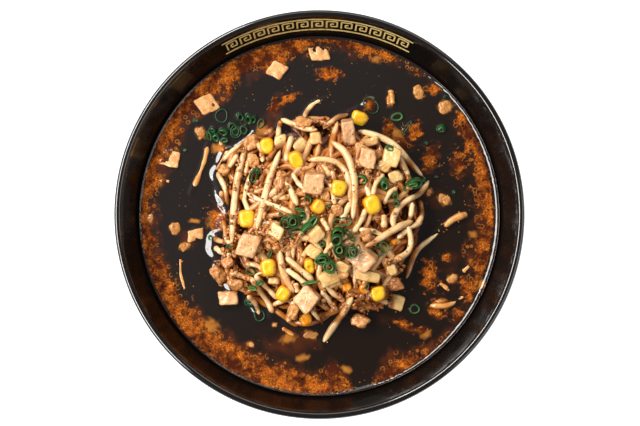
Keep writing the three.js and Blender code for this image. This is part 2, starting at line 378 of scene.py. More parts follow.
def broth_surface():
    """Dark broth with its own brown, and a painted grey reflection of a dim light over one side,
    with drops of oil, the glow of what lies just under it, and foam of small bubbles."""
    finish = Finish("broth", IOR=1.15, Coat_IOR=1.6, Coat_Roughness=0.03)
    foam = finish.carried("foam")
    fine = finish.noise(520, 5, 0.7)
    broad = finish.noise(130, 3)
    grain = fine.between(0.38, 0.62)
    veil = (foam + broad + fine - 1).between(0.5, 0.7)

    bubble = finish.cells(300)
    ring = bubble.between(0.2, 0.3) * (1 - bubble.between(0.32, 0.42))
    hole = (1 - bubble.between(0.14, 0.24)) * finish.noise(200, 2).between(0.5, 0.6)
    pit = (1 - finish.cells(480).between(0.12, 0.26)) * finish.noise(260, 2).between(0.46, 0.56)
    net = 1 - finish.cells(560, "DISTANCE_TO_EDGE").between(0.04, 0.2)
    glint = 1 - finish.cells(1000).between(0.2, 0.45)
    drop = (1 - finish.cells(420).between(0.07, 0.19)) * finish.noise(75, 4).between(0.53, 0.63)

    thick = finish.noise(120, 5, 0.7).between(0.4, 0.64)
    foam_colour = finish.coats(
        finish.mix(thick, (70, 26, 8), (190, 92, 22)),
        (grain * 0.7, (70, 27, 8)),
        (net * 0.3 * thick, (204, 116, 30)),
        (glint * 0.55 * thick, (236, 162, 54)),
        (pit * 0.75, (54, 19, 6)),
        (hole * 0.9, (28, 12, 5)),
    )
    cloud = finish.noise(60, 4, 0.65).between(0.35, 0.7)
    near_foam = foam.between(0.0, 0.6) * 0.5 * cloud
    # The broth's own brown, turned grey on one side by a painted reflection of a dim light.
    body = finish.coats(
        finish.mix(finish.carried("brown"), (30, 25, 23), (24, 13, 6)),
        ((finish.carried("haze") * 0.4 * cloud + near_foam).clamped(), (116, 50, 12)),
        (finish.carried("sunken") * (0.35 + broad * 0.7), (196, 124, 46)),
        (ring * foam.between(0.2, 0.45) * 0.7, (176, 102, 30)),
        (drop * 0.6, (186, 126, 62)),
    )
    finish.feed(
        Base_Color=finish.mix(veil, body, foam_colour),
        Roughness=0.3 + veil * 0.4,
        Coat_Weight=1 - veil * 0.88,
    )
    finish.bump(veil * (1 - hole * 0.8) * (0.6 + 0.4 * grain), 0.4 * MM)
    return finish.material


def bean_sprout():
    """Moist cream sprouts, streaked with brown glaze, with painted shade: orange on the sides that
    face away from up, and warm and dark far under the pile's tops.
    """
    finish = Finish(
        "bean_sprout", IOR=1.45, Coat_Weight=0.5,
        Subsurface_Weight=0.2, Subsurface_Scale=0.0008, Subsurface_Radius=(1.0, 0.8, 0.6),
    )
    depth_shade = finish.carried("depth_shade")
    tone = finish.carried("tone")
    glaze = finish.noise(150, 3).between(0.42, 0.7)
    fleck = finish.noise(1300, 2).between(0.64, 0.72)
    # Painted shade, partly the broth's brown stain: sides that face away from up turn orange, and
    # points far under the pile's tops turn warm and dark.
    flank = 1 - finish.carried("crest").between(0.0, 1.0)
    colour = finish.coats(
        finish.mix(tone, (250, 220, 166), (222, 162, 86)),
        (glaze * (0.5 + tone * 0.4), (204, 128, 52)),
        (flank * 0.7, (182, 102, 34)),
        (depth_shade.between(0.05, 0.5), (186, 112, 42)),
        (depth_shade.between(0.5, 1.0), (134, 68, 22)),
        (fleck * 0.4, (110, 62, 28)),
    )
    finish.feed(Base_Color=colour, Roughness=0.2 + glaze * 0.16)
    finish.bump(finish.noise(260, 2), 0.06 * MM)
    return finish.material


def meat(name, pale, brown, grain):
    """Cooked meat: mottled pale to brown, glazed with broth, with painted shade: browner on the
    sides that face away from up, and darker and redder far under the pile's tops.
    """
    finish = Finish(
        name, IOR=1.42,
        Subsurface_Weight=0.15, Subsurface_Scale=0.001, Subsurface_Radius=(1.0, 0.45, 0.25),
    )
    depth_shade = finish.carried("depth_shade")
    mottle = finish.noise(grain, 5, 0.68)
    fibre = finish.cells(grain * 2.4).between(0.1, 0.6)
    glaze = finish.noise(210, 3).between(0.42, 0.7)
    # Painted shade, partly the broth's brown stain: sides that face away from up, and points far
    # under the pile's tops, are painted browner and darker.
    flank = 1 - finish.carried("crest").between(-0.2, 0.8)
    browned = (finish.carried("tone") * 0.7 + (mottle - 0.5) * 2.4 + (fibre - 0.5) * 0.3).clamped()
    colour = finish.coats(
        finish.mix(browned, pale, brown),
        (glaze * 0.4, (204, 132, 66)),
        (flank * 0.75, (168, 94, 32)),
        (depth_shade.between(0.15, 0.65), (150, 82, 26)),
        (depth_shade.between(0.6, 1.0), (104, 52, 16)),
    )
    finish.feed(
        Base_Color=colour, Roughness=0.26 + mottle * 0.3, Coat_Weight=0.6 - mottle * 0.4,
    )
    finish.bump(mottle * 0.7 + fibre * 0.3, 0.45 * MM)
    return finish.material


# Each kind of meat: its pale and its browned colour, and how many mottles to the metre.
MEATS = {
    "heap_core": ((184, 108, 46), (124, 60, 20), 400),
    "pork": ((234, 188, 138), (192, 122, 66), 240),
    "pork_afloat": ((232, 184, 124), (186, 112, 48), 220),
    "pork_sunk": ((204, 144, 74), (152, 88, 32), 300),
    "broth_bits": ((222, 156, 72), (170, 96, 28), 500),
    "crumbs": ((214, 146, 80), (138, 72, 28), 500),
    "mince": ((226, 164, 96), (144, 74, 28), 330),
}


def onion_flesh():
    """Cooked onion: clear cream flesh with fine layer lines and a wet gloss, and painted shade:
    browner on the sides that face away from up and far under the pile's tops.
    """
    finish = Finish(
        "onion_flesh", IOR=1.42, Coat_Weight=0.4,
        Subsurface_Weight=0.3, Subsurface_Scale=0.001, Subsurface_Radius=(1.0, 0.8, 0.55),
    )
    vein = finish.noise(380, 2).between(0.4, 0.65)
    tint = finish.noise(150, 3).between(0.4, 0.7)
    # Painted shade on the sides that face away from up and far under the pile's tops.
    flank = 1 - finish.carried("crest").between(0.0, 0.9)
    colour = finish.coats(
        finish.mix(tint * 0.7, (238, 202, 136), (214, 154, 78)),
        (vein * 0.35, (206, 152, 84)),
        (flank * 0.75, (184, 118, 52)),
        (finish.carried("depth_shade").between(0.15, 0.7), (146, 82, 32)),
    )
    finish.feed(Base_Color=colour, Roughness=0.24 + vein * 0.15)
    finish.bump(vein, 0.1 * MM)
    return finish.material


def corn_skin():
    """Sweetcorn: glossy yellow skin, deeper yellow below its crown and paler on it, with painted
    shade, orange-yellow, on the sides that face away from up.
    """
    finish = Finish(
        "corn_skin", IOR=1.45, Coat_Weight=0.5,
        Subsurface_Weight=0.3, Subsurface_Scale=0.002, Subsurface_Radius=(1.0, 0.6, 0.1),
    )
    cloud = finish.noise(260, 3)
    # Painted shade: the sides that face away from up are painted a deeper orange-yellow.
    flank = 1 - finish.carried("crest").between(0.1, 0.95)
    colour = finish.coats(
        finish.mix(finish.carried("crown").between(0.1, 0.95), (214, 128, 8), (246, 190, 34)),
        (flank * 0.6, (202, 112, 10)),
        (cloud.between(0.5, 0.75) * 0.45, (250, 212, 96)),
    )
    finish.feed(Base_Color=colour, Roughness=0.14 + cloud * 0.16)
    finish.bump(finish.noise(420, 3), 0.16 * MM)
    return finish.material


def spring_onion():
    """Spring onion: dark green skin outside, paler green and moister inside the ring."""
    finish = Finish("spring_onion", IOR=1.42, Coat_Weight=0.35)
    tone = finish.carried("tone")
    streak = finish.noise(600, 3)
    skin = finish.mix(tone, (10, 54, 22), (38, 102, 36))
    pale = finish.mix(tone, (34, 88, 38), (122, 160, 84))
    colour = finish.coats(
        finish.mix(finish.carried("inner").between(0.25, 0.9), skin, pale),
        (streak.between(0.5, 0.75) * 0.45, (14, 60, 26)),
    )
    finish.feed(Base_Color=colour, Roughness=0.24 + streak * 0.2)
    finish.bump(streak, 0.08 * MM)
    return finish.material


def ground_pepper():
    """Coarse ground pepper: near-black husk with brown and grey grains."""
    finish = Finish("ground_pepper", IOR=1.5)
    husk = finish.mix(finish.carried("tone"), (22, 14, 10), (88, 52, 30))
    finish.feed(Base_Color=husk, Roughness=0.5 + finish.noise(3000) * 0.3)
    return finish.material


# ------------------------------------------------------------------ bowl

BOWL_SEGMENTS = 256
# The foot's underside from the axis out: radius as a share of the foot's inside or mm past it, and
# height over the recess's roof or over the table in mm.
UNDERSIDE = [(0.35, 0.05), (0.7, 0.5), (0.92, 2.4), (1, 3.2)]
FOOT_EDGE = [(0.3, 1.0), (0.6, 0.2), (1.1, 0)]


def wall_arc(radius, start, end, count):
    """Points along an arc of a wall sphere, by angle from straight down."""
    angle = np.linspace(start, end, count)
    return np.stack([radius * np.sin(angle), SPHERE_Z - radius * np.cos(angle)], -1)


def bowl_profile():
    """Foot ring with rounded edges, spherical outside, round lip, spherical inside."""
    lip_z = BOWL_HIGH.z - LIP_RADIUS
    lip_angle = math.acos((SPHERE_Z - lip_z) / MIDDLE_RADIUS)
    lip_x = MIDDLE_RADIUS * math.sin(lip_angle)
    foot_angle = math.asin(FOOT_OUTER / OUTER_RADIUS)
    edge = np.linspace(-math.pi / 2, 0, 5)
    foot = [FOOT_OUTER + FOOT_ROUND * (np.cos(edge) - 1.6), FOOT_ROUND * (np.sin(edge) + 1)]
    recess = [(0.002 * MM, RECESS_ROOF)]
    recess += [(FOOT_INNER * share, RECESS_ROOF + up * MM) for share, up in UNDERSIDE]
    recess += [(FOOT_INNER + out * MM, up * MM) for out, up in FOOT_EDGE]
    flank = [(FOOT_OUTER - 0.3 * MM, 6 * MM), (FOOT_OUTER - 0.1 * MM, 11 * MM)]
    turn = np.linspace(lip_angle - math.pi / 2, lip_angle + math.pi / 2, 15)[1:-1]
    lip = [lip_x + LIP_RADIUS * np.cos(turn), lip_z + LIP_RADIUS * np.sin(turn)]
    outside = wall_arc(OUTER_RADIUS, foot_angle + 0.012, lip_angle, 40)
    inside = wall_arc(INNER_RADIUS, lip_angle, 0.0002, 48)
    return np.concatenate([recess, np.transpose(foot), flank, outside, np.transpose(lip), inside])


def make_bowl():
    """The profile spun round, with the bare ring as a second finish on its lowest faces."""
    vertices, faces = shells(spun(bowl_profile(), around(BOWL_SEGMENTS))[None])
    lip = smoothstep(BOWL_HIGH.z - 3.4 * MM, BOWL_HIGH.z - 2.2 * MM, vertices[:, 2])
    sphere = np.linalg.norm(vertices - [0, 0, SPHERE_Z], axis=1)
    inside = (sphere < INNER_RADIUS + 0.2 * MM) * 1.0
    bowl = make_piece("bowl_glazed", vertices, faces, {"lip": lip, "inside": inside})
    bowl.data.materials.append(black_glaze())
    bowl.data.materials.append(bare_foot())
    centres = np.zeros(len(bowl.data.polygons) * 3, np.float32)
    bowl.data.polygons.foreach_get("center", centres)
    lowest = centres[2::3] < 0.5 * MM
    bowl.data.polygons.foreach_set("material_index", lowest.astype(np.int32))
    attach(bowl, "root")
    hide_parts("bowl")


# The fret: its bars' width and how deep and how proud they sit in the wall, and its meander, with
# the corners of one key in steps.
FRET_BAR = 0.85 * MM
FRET_FACE = INNER_RADIUS - 0.12 * MM
FRET_SEAT = INNER_RADIUS + 0.3 * MM
FRET_STEP = 1.08 * MM
FRET_KEY = [(0, 0), (0, 5), (5, 5), (5, 1), (2, 1), (2, 3), (3.4, 3)]
FRET_KEY_LENGTH = 7
FRET_KEYS = 13
FRET_BORDERS = (-1.6, 6.6)
FRET_LOW = math.radians(63.0)
FRET_HEADING = math.radians(90)
FRET_BAR_RINGS = 12


def fret_bars():
    """Ends of every bar, as (direction round the bowl, slope of the wall)."""
    bars = []
    for key in range(FRET_KEYS):
        corners = [(key * FRET_KEY_LENGTH + u, v) for u, v in FRET_KEY]
        bars += zip(corners, corners[1:])
    length = FRET_KEYS * FRET_KEY_LENGTH
    bars += [((-2, v), (length, v)) for v in FRET_BORDERS]
    u, v = np.moveaxis(np.array(bars, float), -1, 0)
    heading = FRET_HEADING - (u - length / 2) * FRET_STEP / (INNER_RADIUS * math.sin(FRET_LOW))
    return np.stack([heading, FRET_LOW + v * FRET_STEP / INNER_RADIUS], -1)


def make_fret():
    """A gold fret on the far inside wall: thin raised bars along arcs of the wall's sphere."""
    steps = np.linspace(0, 1, FRET_BAR_RINGS)[None, :, None]
    ends = fret_bars()
    heading, slope = np.moveaxis(ends[:, :1] * (1 - steps) + ends[:, 1:] * steps, -1, 0)
    out = [np.sin(slope) * np.cos(heading), np.sin(slope) * np.sin(heading), -np.cos(slope)]
    radial = np.stack(out, -1)
    along = np.gradient(radial, axis=1)
    along /= np.linalg.norm(along, axis=-1, keepdims=True)
    across = np.cross(along, radial) * FRET_BAR / 2
    section = ((1, FRET_SEAT), (1, FRET_FACE), (-1, FRET_FACE), (-1, FRET_SEAT))
    rings = np.stack([radial * radius + across * side for side, radius in section], 2)
    vertices, faces = shells(rings + np.array([0, 0, SPHERE_Z]))
    piece = make_piece("gold_fret", vertices, faces)
    piece.data.polygons.foreach_set("use_smooth", np.zeros(len(piece.data.polygons), bool))
    finish_piece(piece, gold_print())


# ------------------------------------------------------------------ broth

BROTH_SEGMENTS = 800
# Rings of the broth's top, in mm: from and to, and how many. The last ones reach the wall.
BROTH_RINGS = [(0.01, 36, 10), (37.5, 86, 72), (86.6, wall_radius(LEVEL) / MM + 0.05, 18)]
UNDER_RINGS = 24

# Foam along the wall: its width, wider and narrower by direction, and how far its edge fades.
FOAM_WIDTH = 7 * MM
FOAM_FADE = 11 * MM
FOAM_LOBES = [
    (8, 5, 9), (28, 3, 8), (45, -12, 8), (60, -4, 8), (88, -2, 12), (107, 6, 11), (130, 6, 11),
    (155, 2.5, 10), (180, -0.5, 12), (212, 5, 13), (240, 8, 15), (262, 5, 8), (275, 9, 4),
    (285, -10, 5), (298, 4, 7), (322, -7, 14), (347, 7, 8),
]

# Islands of foam and floating grease: place, half width, half length and turn.
FOAM_ISLANDS = [
    (36, 45, 2.5, 5, 0), (49, 44, 4, 5, 0), (42, 37, 6, 3.5, 0), (58, 30, 3.5, 7, -15),
    (73, 27, 4, 7, 0), (57, -32, 4, 8, 0), (66, -22, 2, 3, 0), (62, -48, 5, 5, 0),
    (44, -57, 5, 2.5, -30), (72, -52, 4, 4, 0), (5, 74, 6, 3, 0), (-23, 58, 2.5, 5, -20),
    (-17, 61, 5, 2.5, 20), (-48, 69, 3.5, 4, 0), (26, 58, 3, 3, 0), (-53, -2, 5, 6, 0),
    (53, -60, 4, 2, 0), (-28, 83, 5, 5, 0), (78, -40, 4, 8, 30), (60, 66, 4, 3, 0),
]

# Browner haze under the surface, in the same terms.
HAZES = [
    (26, -56, 15, 5, 10), (-18, -66, 22, 11, 0), (-54, -4, 7, 9, 0), (62, 8, 8, 7, 0),
    (-68, -14, 7, 6, 0), (20, 52, 10, 5, 0), (-28, 47, 7, 7, 0), (72, -30, 10, 14, 0),
    (-85, 18, 6, 6, 0), (-24, 55, 6, 8, 0),
]

# How steeply the broth climbs to what stands in it, and how high and how far out up the wall.
MENISCUS_SLOPE = 0.4
WALL_MENISCUS = 2.2 * MM
WALL_MENISCUS_REACH = 2.1 * MM


def foam_share(x, y):
    """0 on clear broth to 1 in foam: nearness to the wall against the foam's width, or an island,
    with a clear rim at the wall itself."""
    plan = np.stack([x, y], -1)
    ragged = waves(plan, 9 * MM, 3) * 2.2 * MM + waves(plan, 3.5 * MM, 4) * 1.0 * MM
    inward = BROTH_HIGH.x - np.hypot(x, y)
    ring = (lobed(np.arctan2(y, x), FOAM_WIDTH, FOAM_LOBES) - inward + ragged) / FOAM_FADE
    island = ovals(x, y, FOAM_ISLANDS) * 0.9 - 0.05 + waves(plan, 4 * MM, 5) * 0.45
    bare = lobed(np.arctan2(y, x), 1.0 * MM, [(-8, 2.2, 50)]) + waves(plan, 2.4 * MM, 8) * 0.6 * MM
    clear = smoothstep(bare - 0.7 * MM, bare + 0.7 * MM, inward)
    return np.clip(0.5 + np.maximum(ring, island), 0, 1) * (0.15 + 0.85 * clear)


def broth_height(x, y, pile):
    """The level, with menisci up the wall and up to everything that stands out of the broth: each
    climbs by slope * (c + hypot(c, 0.4 mm)) / 2, with c how far inside its reach a point is."""
    plan = np.stack([x, y], -1)
    to_wall = wall_radius(LEVEL) - np.hypot(x, y)
    wall = WALL_MENISCUS * np.exp(-to_wall / WALL_MENISCUS_REACH)
    reach = lobed(np.arctan2(y, x), 1.5 * MM, [(190, 2.6, 60)])
    heap = reach * (0.95 + 0.22 * waves(plan, 14 * MM, 9)) - pile.read(pile.heap_shore, x, y)
    small = 1.3 * MM - pile.read(pile.small_shore, x, y)
    climb = np.maximum(heap, small)
    return LEVEL + wall + MENISCUS_SLOPE * (climb + np.hypot(climb, 0.4 * MM)) / 2


def make_broth(pile):
    """A disc of rings that closes over the bowl's inside: fine on top, coarse underneath."""
    turn = around(BROTH_SEGMENTS)
    rings = np.concatenate([np.linspace(*row) for row in BROTH_RINGS]) * MM
    x, y = rings[:, None] * np.cos(turn), rings[:, None] * np.sin(turn)
    plan = np.stack([x, y], -1)
    foam = foam_share(x, y)
    z = broth_height(x, y, pile) + foam * (0.35 * MM + 0.25 * MM * waves(plan, 2.2 * MM, 6))
    brim = math.acos((SPHERE_Z - LEVEL) / INNER_RADIUS)
    bottom = spun(wall_arc(INNER_RADIUS + 0.4 * MM, 0.0002, brim - 0.004, UNDER_RINGS), turn)
    top = np.stack([x, y, z], -1)[::-1]
    vertices, faces = shells(np.concatenate([bottom, top])[None])
    glows = [(*place, GLOW * wide, GLOW * long, turned)
             for *place, wide, long, _, turned, _, _ in SUNK]
    carried = {
        "foam": foam,
        # 0 where the broth is painted grey by a reflection of a dim light, 1 where it keeps its own
        # brown.
        "brown": smoothstep(-60 * MM, 70 * MM, x * 0.75 - y * 0.66),
        "haze": smoothstep(0, 0.8, ovals(x, y, HAZES) + 0.25 * waves(plan, 11 * MM, 7)),
        "sunken": smoothstep(0, 0.75, ovals(x, y, glows) + 0.22 * waves(plan, 3 * MM, 10)),
    }
    for label, grid in carried.items():
        carried[label] = np.pad(grid[::-1].ravel(), (bottom[..., 0].size, 2))
    broth = make_piece("broth_surface", vertices, faces, carried)
    broth.data.materials.append(broth_surface())
    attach(broth, "root")
    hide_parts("broth")


# ------------------------------------------------------------------ the pile

# The side of the pile's cells and half its span, how far below its tops the painted depth shade
# is full, and how far out a shore is felt.
PILE_CELL = 0.6 * MM
PILE_HALF = 94 * MM
DEEPEST = 9 * MM
SHORE_REACH = 9 * MM
SHORE_STEPS = 14


def eased(cells, passes):
    """Cells averaged with their neighbours, 1 2 1 along each axis, as many times as told."""
    for _ in range(passes):
        for axis in (0, 1):
            cells = (np.roll(cells, 1, axis) + 2 * cells + np.roll(cells, -1, axis)) / 4
    return cells


class Pile:
    """Heights of what lies in the bowl, on square cells: each piece rests on those before it."""

    def __init__(self, cell, half):
        self.cell = cell
        self.half = half
        steps = np.arange(-half, half, cell) + cell / 2
        x, y = np.meshgrid(steps, steps, indexing="ij")
        self.height = np.maximum(core_top(x, y), LEVEL - 1.2 * MM)

    def index(self, place):
        """The number of the cell that holds each place, along one axis."""
        return ((np.atleast_1d(place) + self.half) / self.cell).astype(int)

    def cap(self, x, y, reach):
        """Cells under a ball at each place, and how far its surface lies above its middle there."""
        span = np.arange(-int(reach / self.cell), int(reach / self.cell) + 1)
        ox, oy = (o.ravel() for o in np.meshgrid(span, span, indexing="ij"))
        away = np.hypot(ox, oy) * self.cell
        kept = away <= reach
        last = len(self.height) - 1
        column = np.clip(self.index(x)[:, None] + ox[kept], 0, last)
        row = np.clip(self.index(y)[:, None] + oy[kept], 0, last)
        return column, row, np.sqrt(reach ** 2 - away[kept] ** 2)

    def rest(self, x, y, reach):
        """Height of the middle of a ball of that reach when it is let down on the pile."""
        column, row, rise = self.cap(x, y, reach)
        return (self.height[column, row] + rise).max(1)

    def cover(self, x, y, z, reach, flat=False):
        """Raises the pile to the tops of balls at these middles, or to flat tops at a height."""
        column, row, rise = self.cap(x, y, reach)
        top = np.atleast_1d(z)[:, None] + (0 * rise if flat else rise)
        np.maximum.at(self.height, (column, row), top)

    def settle(self):
        """Keeps a smoothed copy of the pile, raised to the tops nearby, that depths start from."""
        tops = self.height
        for axis in (0, 1) * 4:
            tops = np.maximum(tops, np.maximum(np.roll(tops, 1, axis), np.roll(tops, -1, axis)))
        self.tops = eased(tops, 8)

    def shore(self, wetted, passes):
        """Distance from every cell to the nearest thing that stands above a height, smoothed."""
        away = np.where(self.height > wetted, 0.0, SHORE_REACH)
        for _ in range(SHORE_STEPS):
            for dx, dy in ((0, 1), (1, 0), (1, 1), (1, -1)):
                step = math.hypot(dx, dy) * self.cell
                for way in (1, -1):
                    away = np.minimum(away, np.roll(away, (dx * way, dy * way), (0, 1)) + step)
        return eased(away, passes)

    def read(self, cells, x, y):
        """Values at any places, smooth between the cells."""
        u = np.clip((x + self.half) / self.cell - 0.5, 0, len(cells) - 2.001)
        v = np.clip((y + self.half) / self.cell - 0.5, 0, len(cells) - 2.001)
        i, j = u.astype(int), v.astype(int)
        u, v = u - i, v - j
        near = cells[i, j] * (1 - v) + cells[i, j + 1] * v
        far = cells[i + 1, j] * (1 - v) + cells[i + 1, j + 1] * v
        return near * (1 - u) + far * u

    def depth(self, vertices):
        """How much painted shade a point gets: 0 at the tops of the pile to 1 some millimetres
        below them.
        """
        column, row = np.clip(self.index(vertices[:, :2]), 0, len(self.height) - 1).T
        return np.clip((self.tops[column, row] - vertices[:, 2]) / DEEPEST, 0, 1)


# ------------------------------------------------------------------ sprouts

STRAND_RINGS = 30
STRAND_SIDES = 10
STRAND_FINENESS = 0.92
STRAND_EASINGS = 30
GOLDEN_SHARE = 0.618

# Random sprouts inside the heap, in layers from the bottom up: how many, half length and half
# thickness from and to, the share drawn out to a root and on every how many, and how they lie:
# how far each gives, its ceiling over the dome, and the ceiling's spread.
RANDOM_SPROUTS = {
    "sprouts_inside": (170, (11, 21), (1.4, 2.0), 0.2, 4, (1.0, -2.6, 1.4)),
    "sprouts_between": (84, (15, 26), (1.5, 2.1), 0.15, 5, (0.8, -0.2, 1.9)),
}
TOP_LIE = (0.4, 3.4, 0.0)
AFLOAT_LIE = (0.95, 1.4, 0.0)

# Long sprouts on top of the heap, in the order they lie: half thickness, share drawn out to a
# root, and the points on the plan that each passes over.
TOP_SPROUTS = [
    (1.7, 0, [(-42, 31), (-46, 25), (-50, 20)]), (1.5, 0, [(-35, 31), (-37, 25), (-38, 20)]),
    (1.6, 0, [(-51, 12), (-48, 5), (-44, -3)]), (1.6, 0, [(-54, -17), (-50, -20), (-45, -22)]),
    (1.7, 0, [(-14, 40), (-16, 33), (-17, 26)]), (1.6, 0, [(33, 20), (29, 15), (27, 8)]),
    (1.4, 0, [(40, 13), (36, 10), (33, 4)]), (1.8, 0, [(33, -1), (33, -8)]),
    (1.5, 0, [(20, -9), (28, -10), (34, -13)]), (1.5, 0, [(1, -3), (5, -10)]),
    (1.5, 0, [(-38, -26), (-32, -27), (-28, -30)]), (1.7, 0, [(-17, -29), (-10, -34), (-6, -38)]),
    (1.5, 0, [(3, -37), (8, -42), (13, -45)]), (1.5, 0, [(1, -40), (5, -45), (9, -50)]),
    (1.5, 0, [(48, 6), (47, -1), (45, -6)]), (1.7, 0, [(52, 8), (53, 0), (50, -6)]),
    (1.6, 0, [(24, 2), (21, -5), (17, -11)]), (1.9, 0, [(16, 5), (13, -1), (11, -5)]),
    (1.3, 0, [(-14, 20), (-10, 14), (-3, 9)]), (1.8, 0, [(-19, 21), (-15, 12), (-11, 3)]),
    (1.7, 0, [(-17, -23), (-10, -29), (-3, -35)]), (1.7, 0, [(-46, -30), (-40, -32), (-34, -34)]),
    (1.6, 0, [(-33, -32), (-27, -38), (-21, -44)]),
    (1.8, 0, [(-35, -33), (-31, -39), (-26, -46), (-24, -51)]),
    (1.7, 0, [(46, 19), (42, 28), (36, 37)]),
    (1.8, 0, [(-5, 27), (4, 27), (11, 24), (15, 16), (16, 4)]),
    (1.4, 0, [(-37, 10), (-30, 6), (-22, 3), (-13, -1)]),
    (2, 0, [(-38, 35), (-42, 18), (-44, 0), (-45, -16)]),
    (2, 0, [(-20, 32), (-25, 18), (-29, 3), (-32, -9)]), (1.6, 0, [(-12, -36), (-11, -41)]),
    (2, 0, [(-20, -20), (-19, -28), (-17, -34), (-13, -41)]),
    (1.4, 0, [(-24, -47), (-19, -45), (-14, -44)]),
    (1.9, 0, [(-13, -45), (-15, -51), (-16, -56)]), (1.1, 0.3, [(-8, -46), (-3, -51), (2, -57)]),
    (2, 0, [(20, 43), (28, 41), (37, 37), (45, 29), (54, 20)]),
    (2.1, 0, [(6, 37), (13, 31), (17, 21), (18, 8), (17, -4)]),
    (1.8, 0, [(57, 18), (52, 11), (43, 5), (38, -2), (38, -8)]),
    (1.6, 0, [(40, -13), (46, -8), (53, -4)]), (2, 0, [(23, -18), (33, -12), (41, -7), (48, -4)]),
    (1.8, 0, [(45, -6), (47, -13), (46, -19), (41, -23), (35, -25)]),
    (1.6, 0, [(-21, 38), (-21, 44), (-20, 50)]),
    (1.5, 0, [(-20, 50), (-14, 47), (-8, 44), (-1, 43)]),
    (1.4, 0.25, [(-8, 50), (-6, 55), (-2, 59), (4, 61)]),
    (1.4, 0.5, [(2, 44), (9, 50), (15, 53), (22, 57)]),
    (1.9, 0, [(17, -43), (13, -50), (7, -58), (2, -66)]),
    (1.7, 0.55, [(45, -33), (47, -26), (51, -18), (57, -13), (61, -10), (67, -5), (71, -2)]),
    (1.5, 0, [(-47, 33), (-51, 28), (-54, 22)]),
    (1.4, 0, [(-33, 24), (-36, 17), (-38, 9), (-38, 3)]),
    (1.5, 0, [(-53, 22), (-49, 14), (-47, 5)]), (1.4, 0, [(-52, 2), (-49, -6), (-48, -14)]),
    (1.5, 0, [(-56, -11), (-51, -14), (-45, -15)]), (1.4, 0.3, [(-50, 28), (-45, 33), (-38, 38)]),
    (1.5, 0, [(-33, 38), (-30, 33), (-29, 26)]), (1.4, 0, [(-39, 8), (-36, 1), (-31, -5)]),
    (1.5, 0, [(-37, -42), (-33, -46), (-31, -52)]), (1.4, 0.3, [(-2, -44), (-6, -50), (-9, -55)]),
    (1.5, 0, [(24, -40), (30, -44), (36, -46)]), (1.4, 0, [(9, 16), (7, 10), (8, 3)]),
    (1.5, 0, [(24, 14), (26, 8), (31, 3)]), (1.4, 0, [(-8, 18), (-2, 18), (4, 15), (9, 10)]),
    (0.7, 0.5, [(-33, -32), (-29, -31), (-26, -34), (-28, -38)]),
    (0.6, 0.6, [(5, 5), (9, 7), (15, 6)]), (0.5, 0.6, [(27, -30), (28, -35), (26, -38)]),
    (0.6, 0.6, [(-39, 46), (-35, 44), (-33, 42)]),
]

# Sprouts that float beside the heap, in the same terms.
BROTH_SPROUTS = [
    (1.7, 0.2, [(-58, 37), (-60, 28), (-63, 20), (-67, 11)]),
    (1.3, 0.3, [(-72, -20), (-72, -30), (-70, -38), (-68, -48)]),
    (1.5, 0.2, [(57, -47), (66, -47), (72, -44), (79, -39)]),
    (1.7, 0, [(-63, 62), (-57, 69), (-50, 76), (-43, 81)]),
    (0.8, 0.4, [(-55, 60), (-50, 58), (-44, 58)]), (1.9, 0.1, [(65, -6), (70, -2), (78, 1)]),
    (1.6, 0.3, [(74, -30), (78, -26), (80, -22)]), (1.4, 0.4, [(62, -35), (66, -38), (69, -42)]),
    (1.6, 0.2, [(37, 66), (38, 61), (38, 57)]), (1.5, 0.3, [(-20, -58), (-14, -62), (-12, -66)]),
    (1.6, 0, [(-52, 40), (-50, 33)]), (1.5, 0.2, [(-86, 14), (-82, 18), (-76, 17)]),
]


def curve_through(points, count):
    """Catmull-Rom curve through the points."""
    p = np.asarray(points, float)
    p = np.vstack([2 * p[0] - p[1], p, 2 * p[-1] - p[-2]])
    t = np.linspace(0, len(p) - 3, count)
    i = np.minimum(t.astype(int), len(p) - 4)
    u = (t - i)[:, None]
    a, b, c, d = p[i], p[i + 1], p[i + 2], p[i + 3]
    square = (2 * a - 5 * b + 4 * c - d) * u ** 2
    cube = (3 * b - a - 3 * c + d) * u ** 3
    return 0.5 * (2 * b + (c - a) * u + square + cube)


def lay_strand(pile, points, radius, give, ceiling):
    """Lets a springy strand down on the pile: it touches high places and bridges low ones."""
    plan = curve_through(points, STRAND_RINGS)
    x, y = plan.T
    rest = np.minimum(pile.rest(x, y, radius) - give, heap_top(x, y) + ceiling)
    z = rest
    for _ in range(STRAND_EASINGS):
        z = np.maximum(rest, np.convolve(np.pad(z, 1, mode="edge"), [0.25, 0.5, 0.25], "valid"))
    pile.cover(x, y, z, radius)
    return np.column_stack([x, y, z])


def strand_radii(radius, tail):
    """Radius along a strand: a slight swell, rounded ends, and a share drawn out to a thin root."""
    t = np.linspace(0, 1, STRAND_RINGS)
    swell = 1 + 0.1 * np.sin(t * 7 + radius * 9000) + 0.06 * np.sin(t * 17 + radius * 5000)
    blunt = np.clip(np.minimum(t, 1 - t) / 0.11, 0, 1) ** 0.6 * 0.8 + 0.2
    root = 1 - 0.88 * smoothstep(1 - tail, 1 - tail * 0.35, t) if tail else 1
    return radius * swell * blunt * root


def tubes(paths, radii, sides, flatten=0.93):
    """Rings round each path: side * r cos a + lift * r sin a, with side level and square to the
    path, and lift square to both."""
    paths = np.asarray(paths)
    tangent = np.gradient(paths, axis=1)
    tangent /= np.linalg.norm(tangent, axis=-1, keepdims=True)
    side = np.cross([0, 0, 1.0], tangent)
    side /= np.maximum(np.linalg.norm(side, axis=-1, keepdims=True), 1e-6)
    lift = np.cross(tangent, side)
    turn = around(sides)[:, None]
    ring = side[:, :, None] * np.cos(turn) + lift[:, :, None] * np.sin(turn) * flatten
    return paths[:, :, None] + ring * np.asarray(radii)[:, :, None, None]


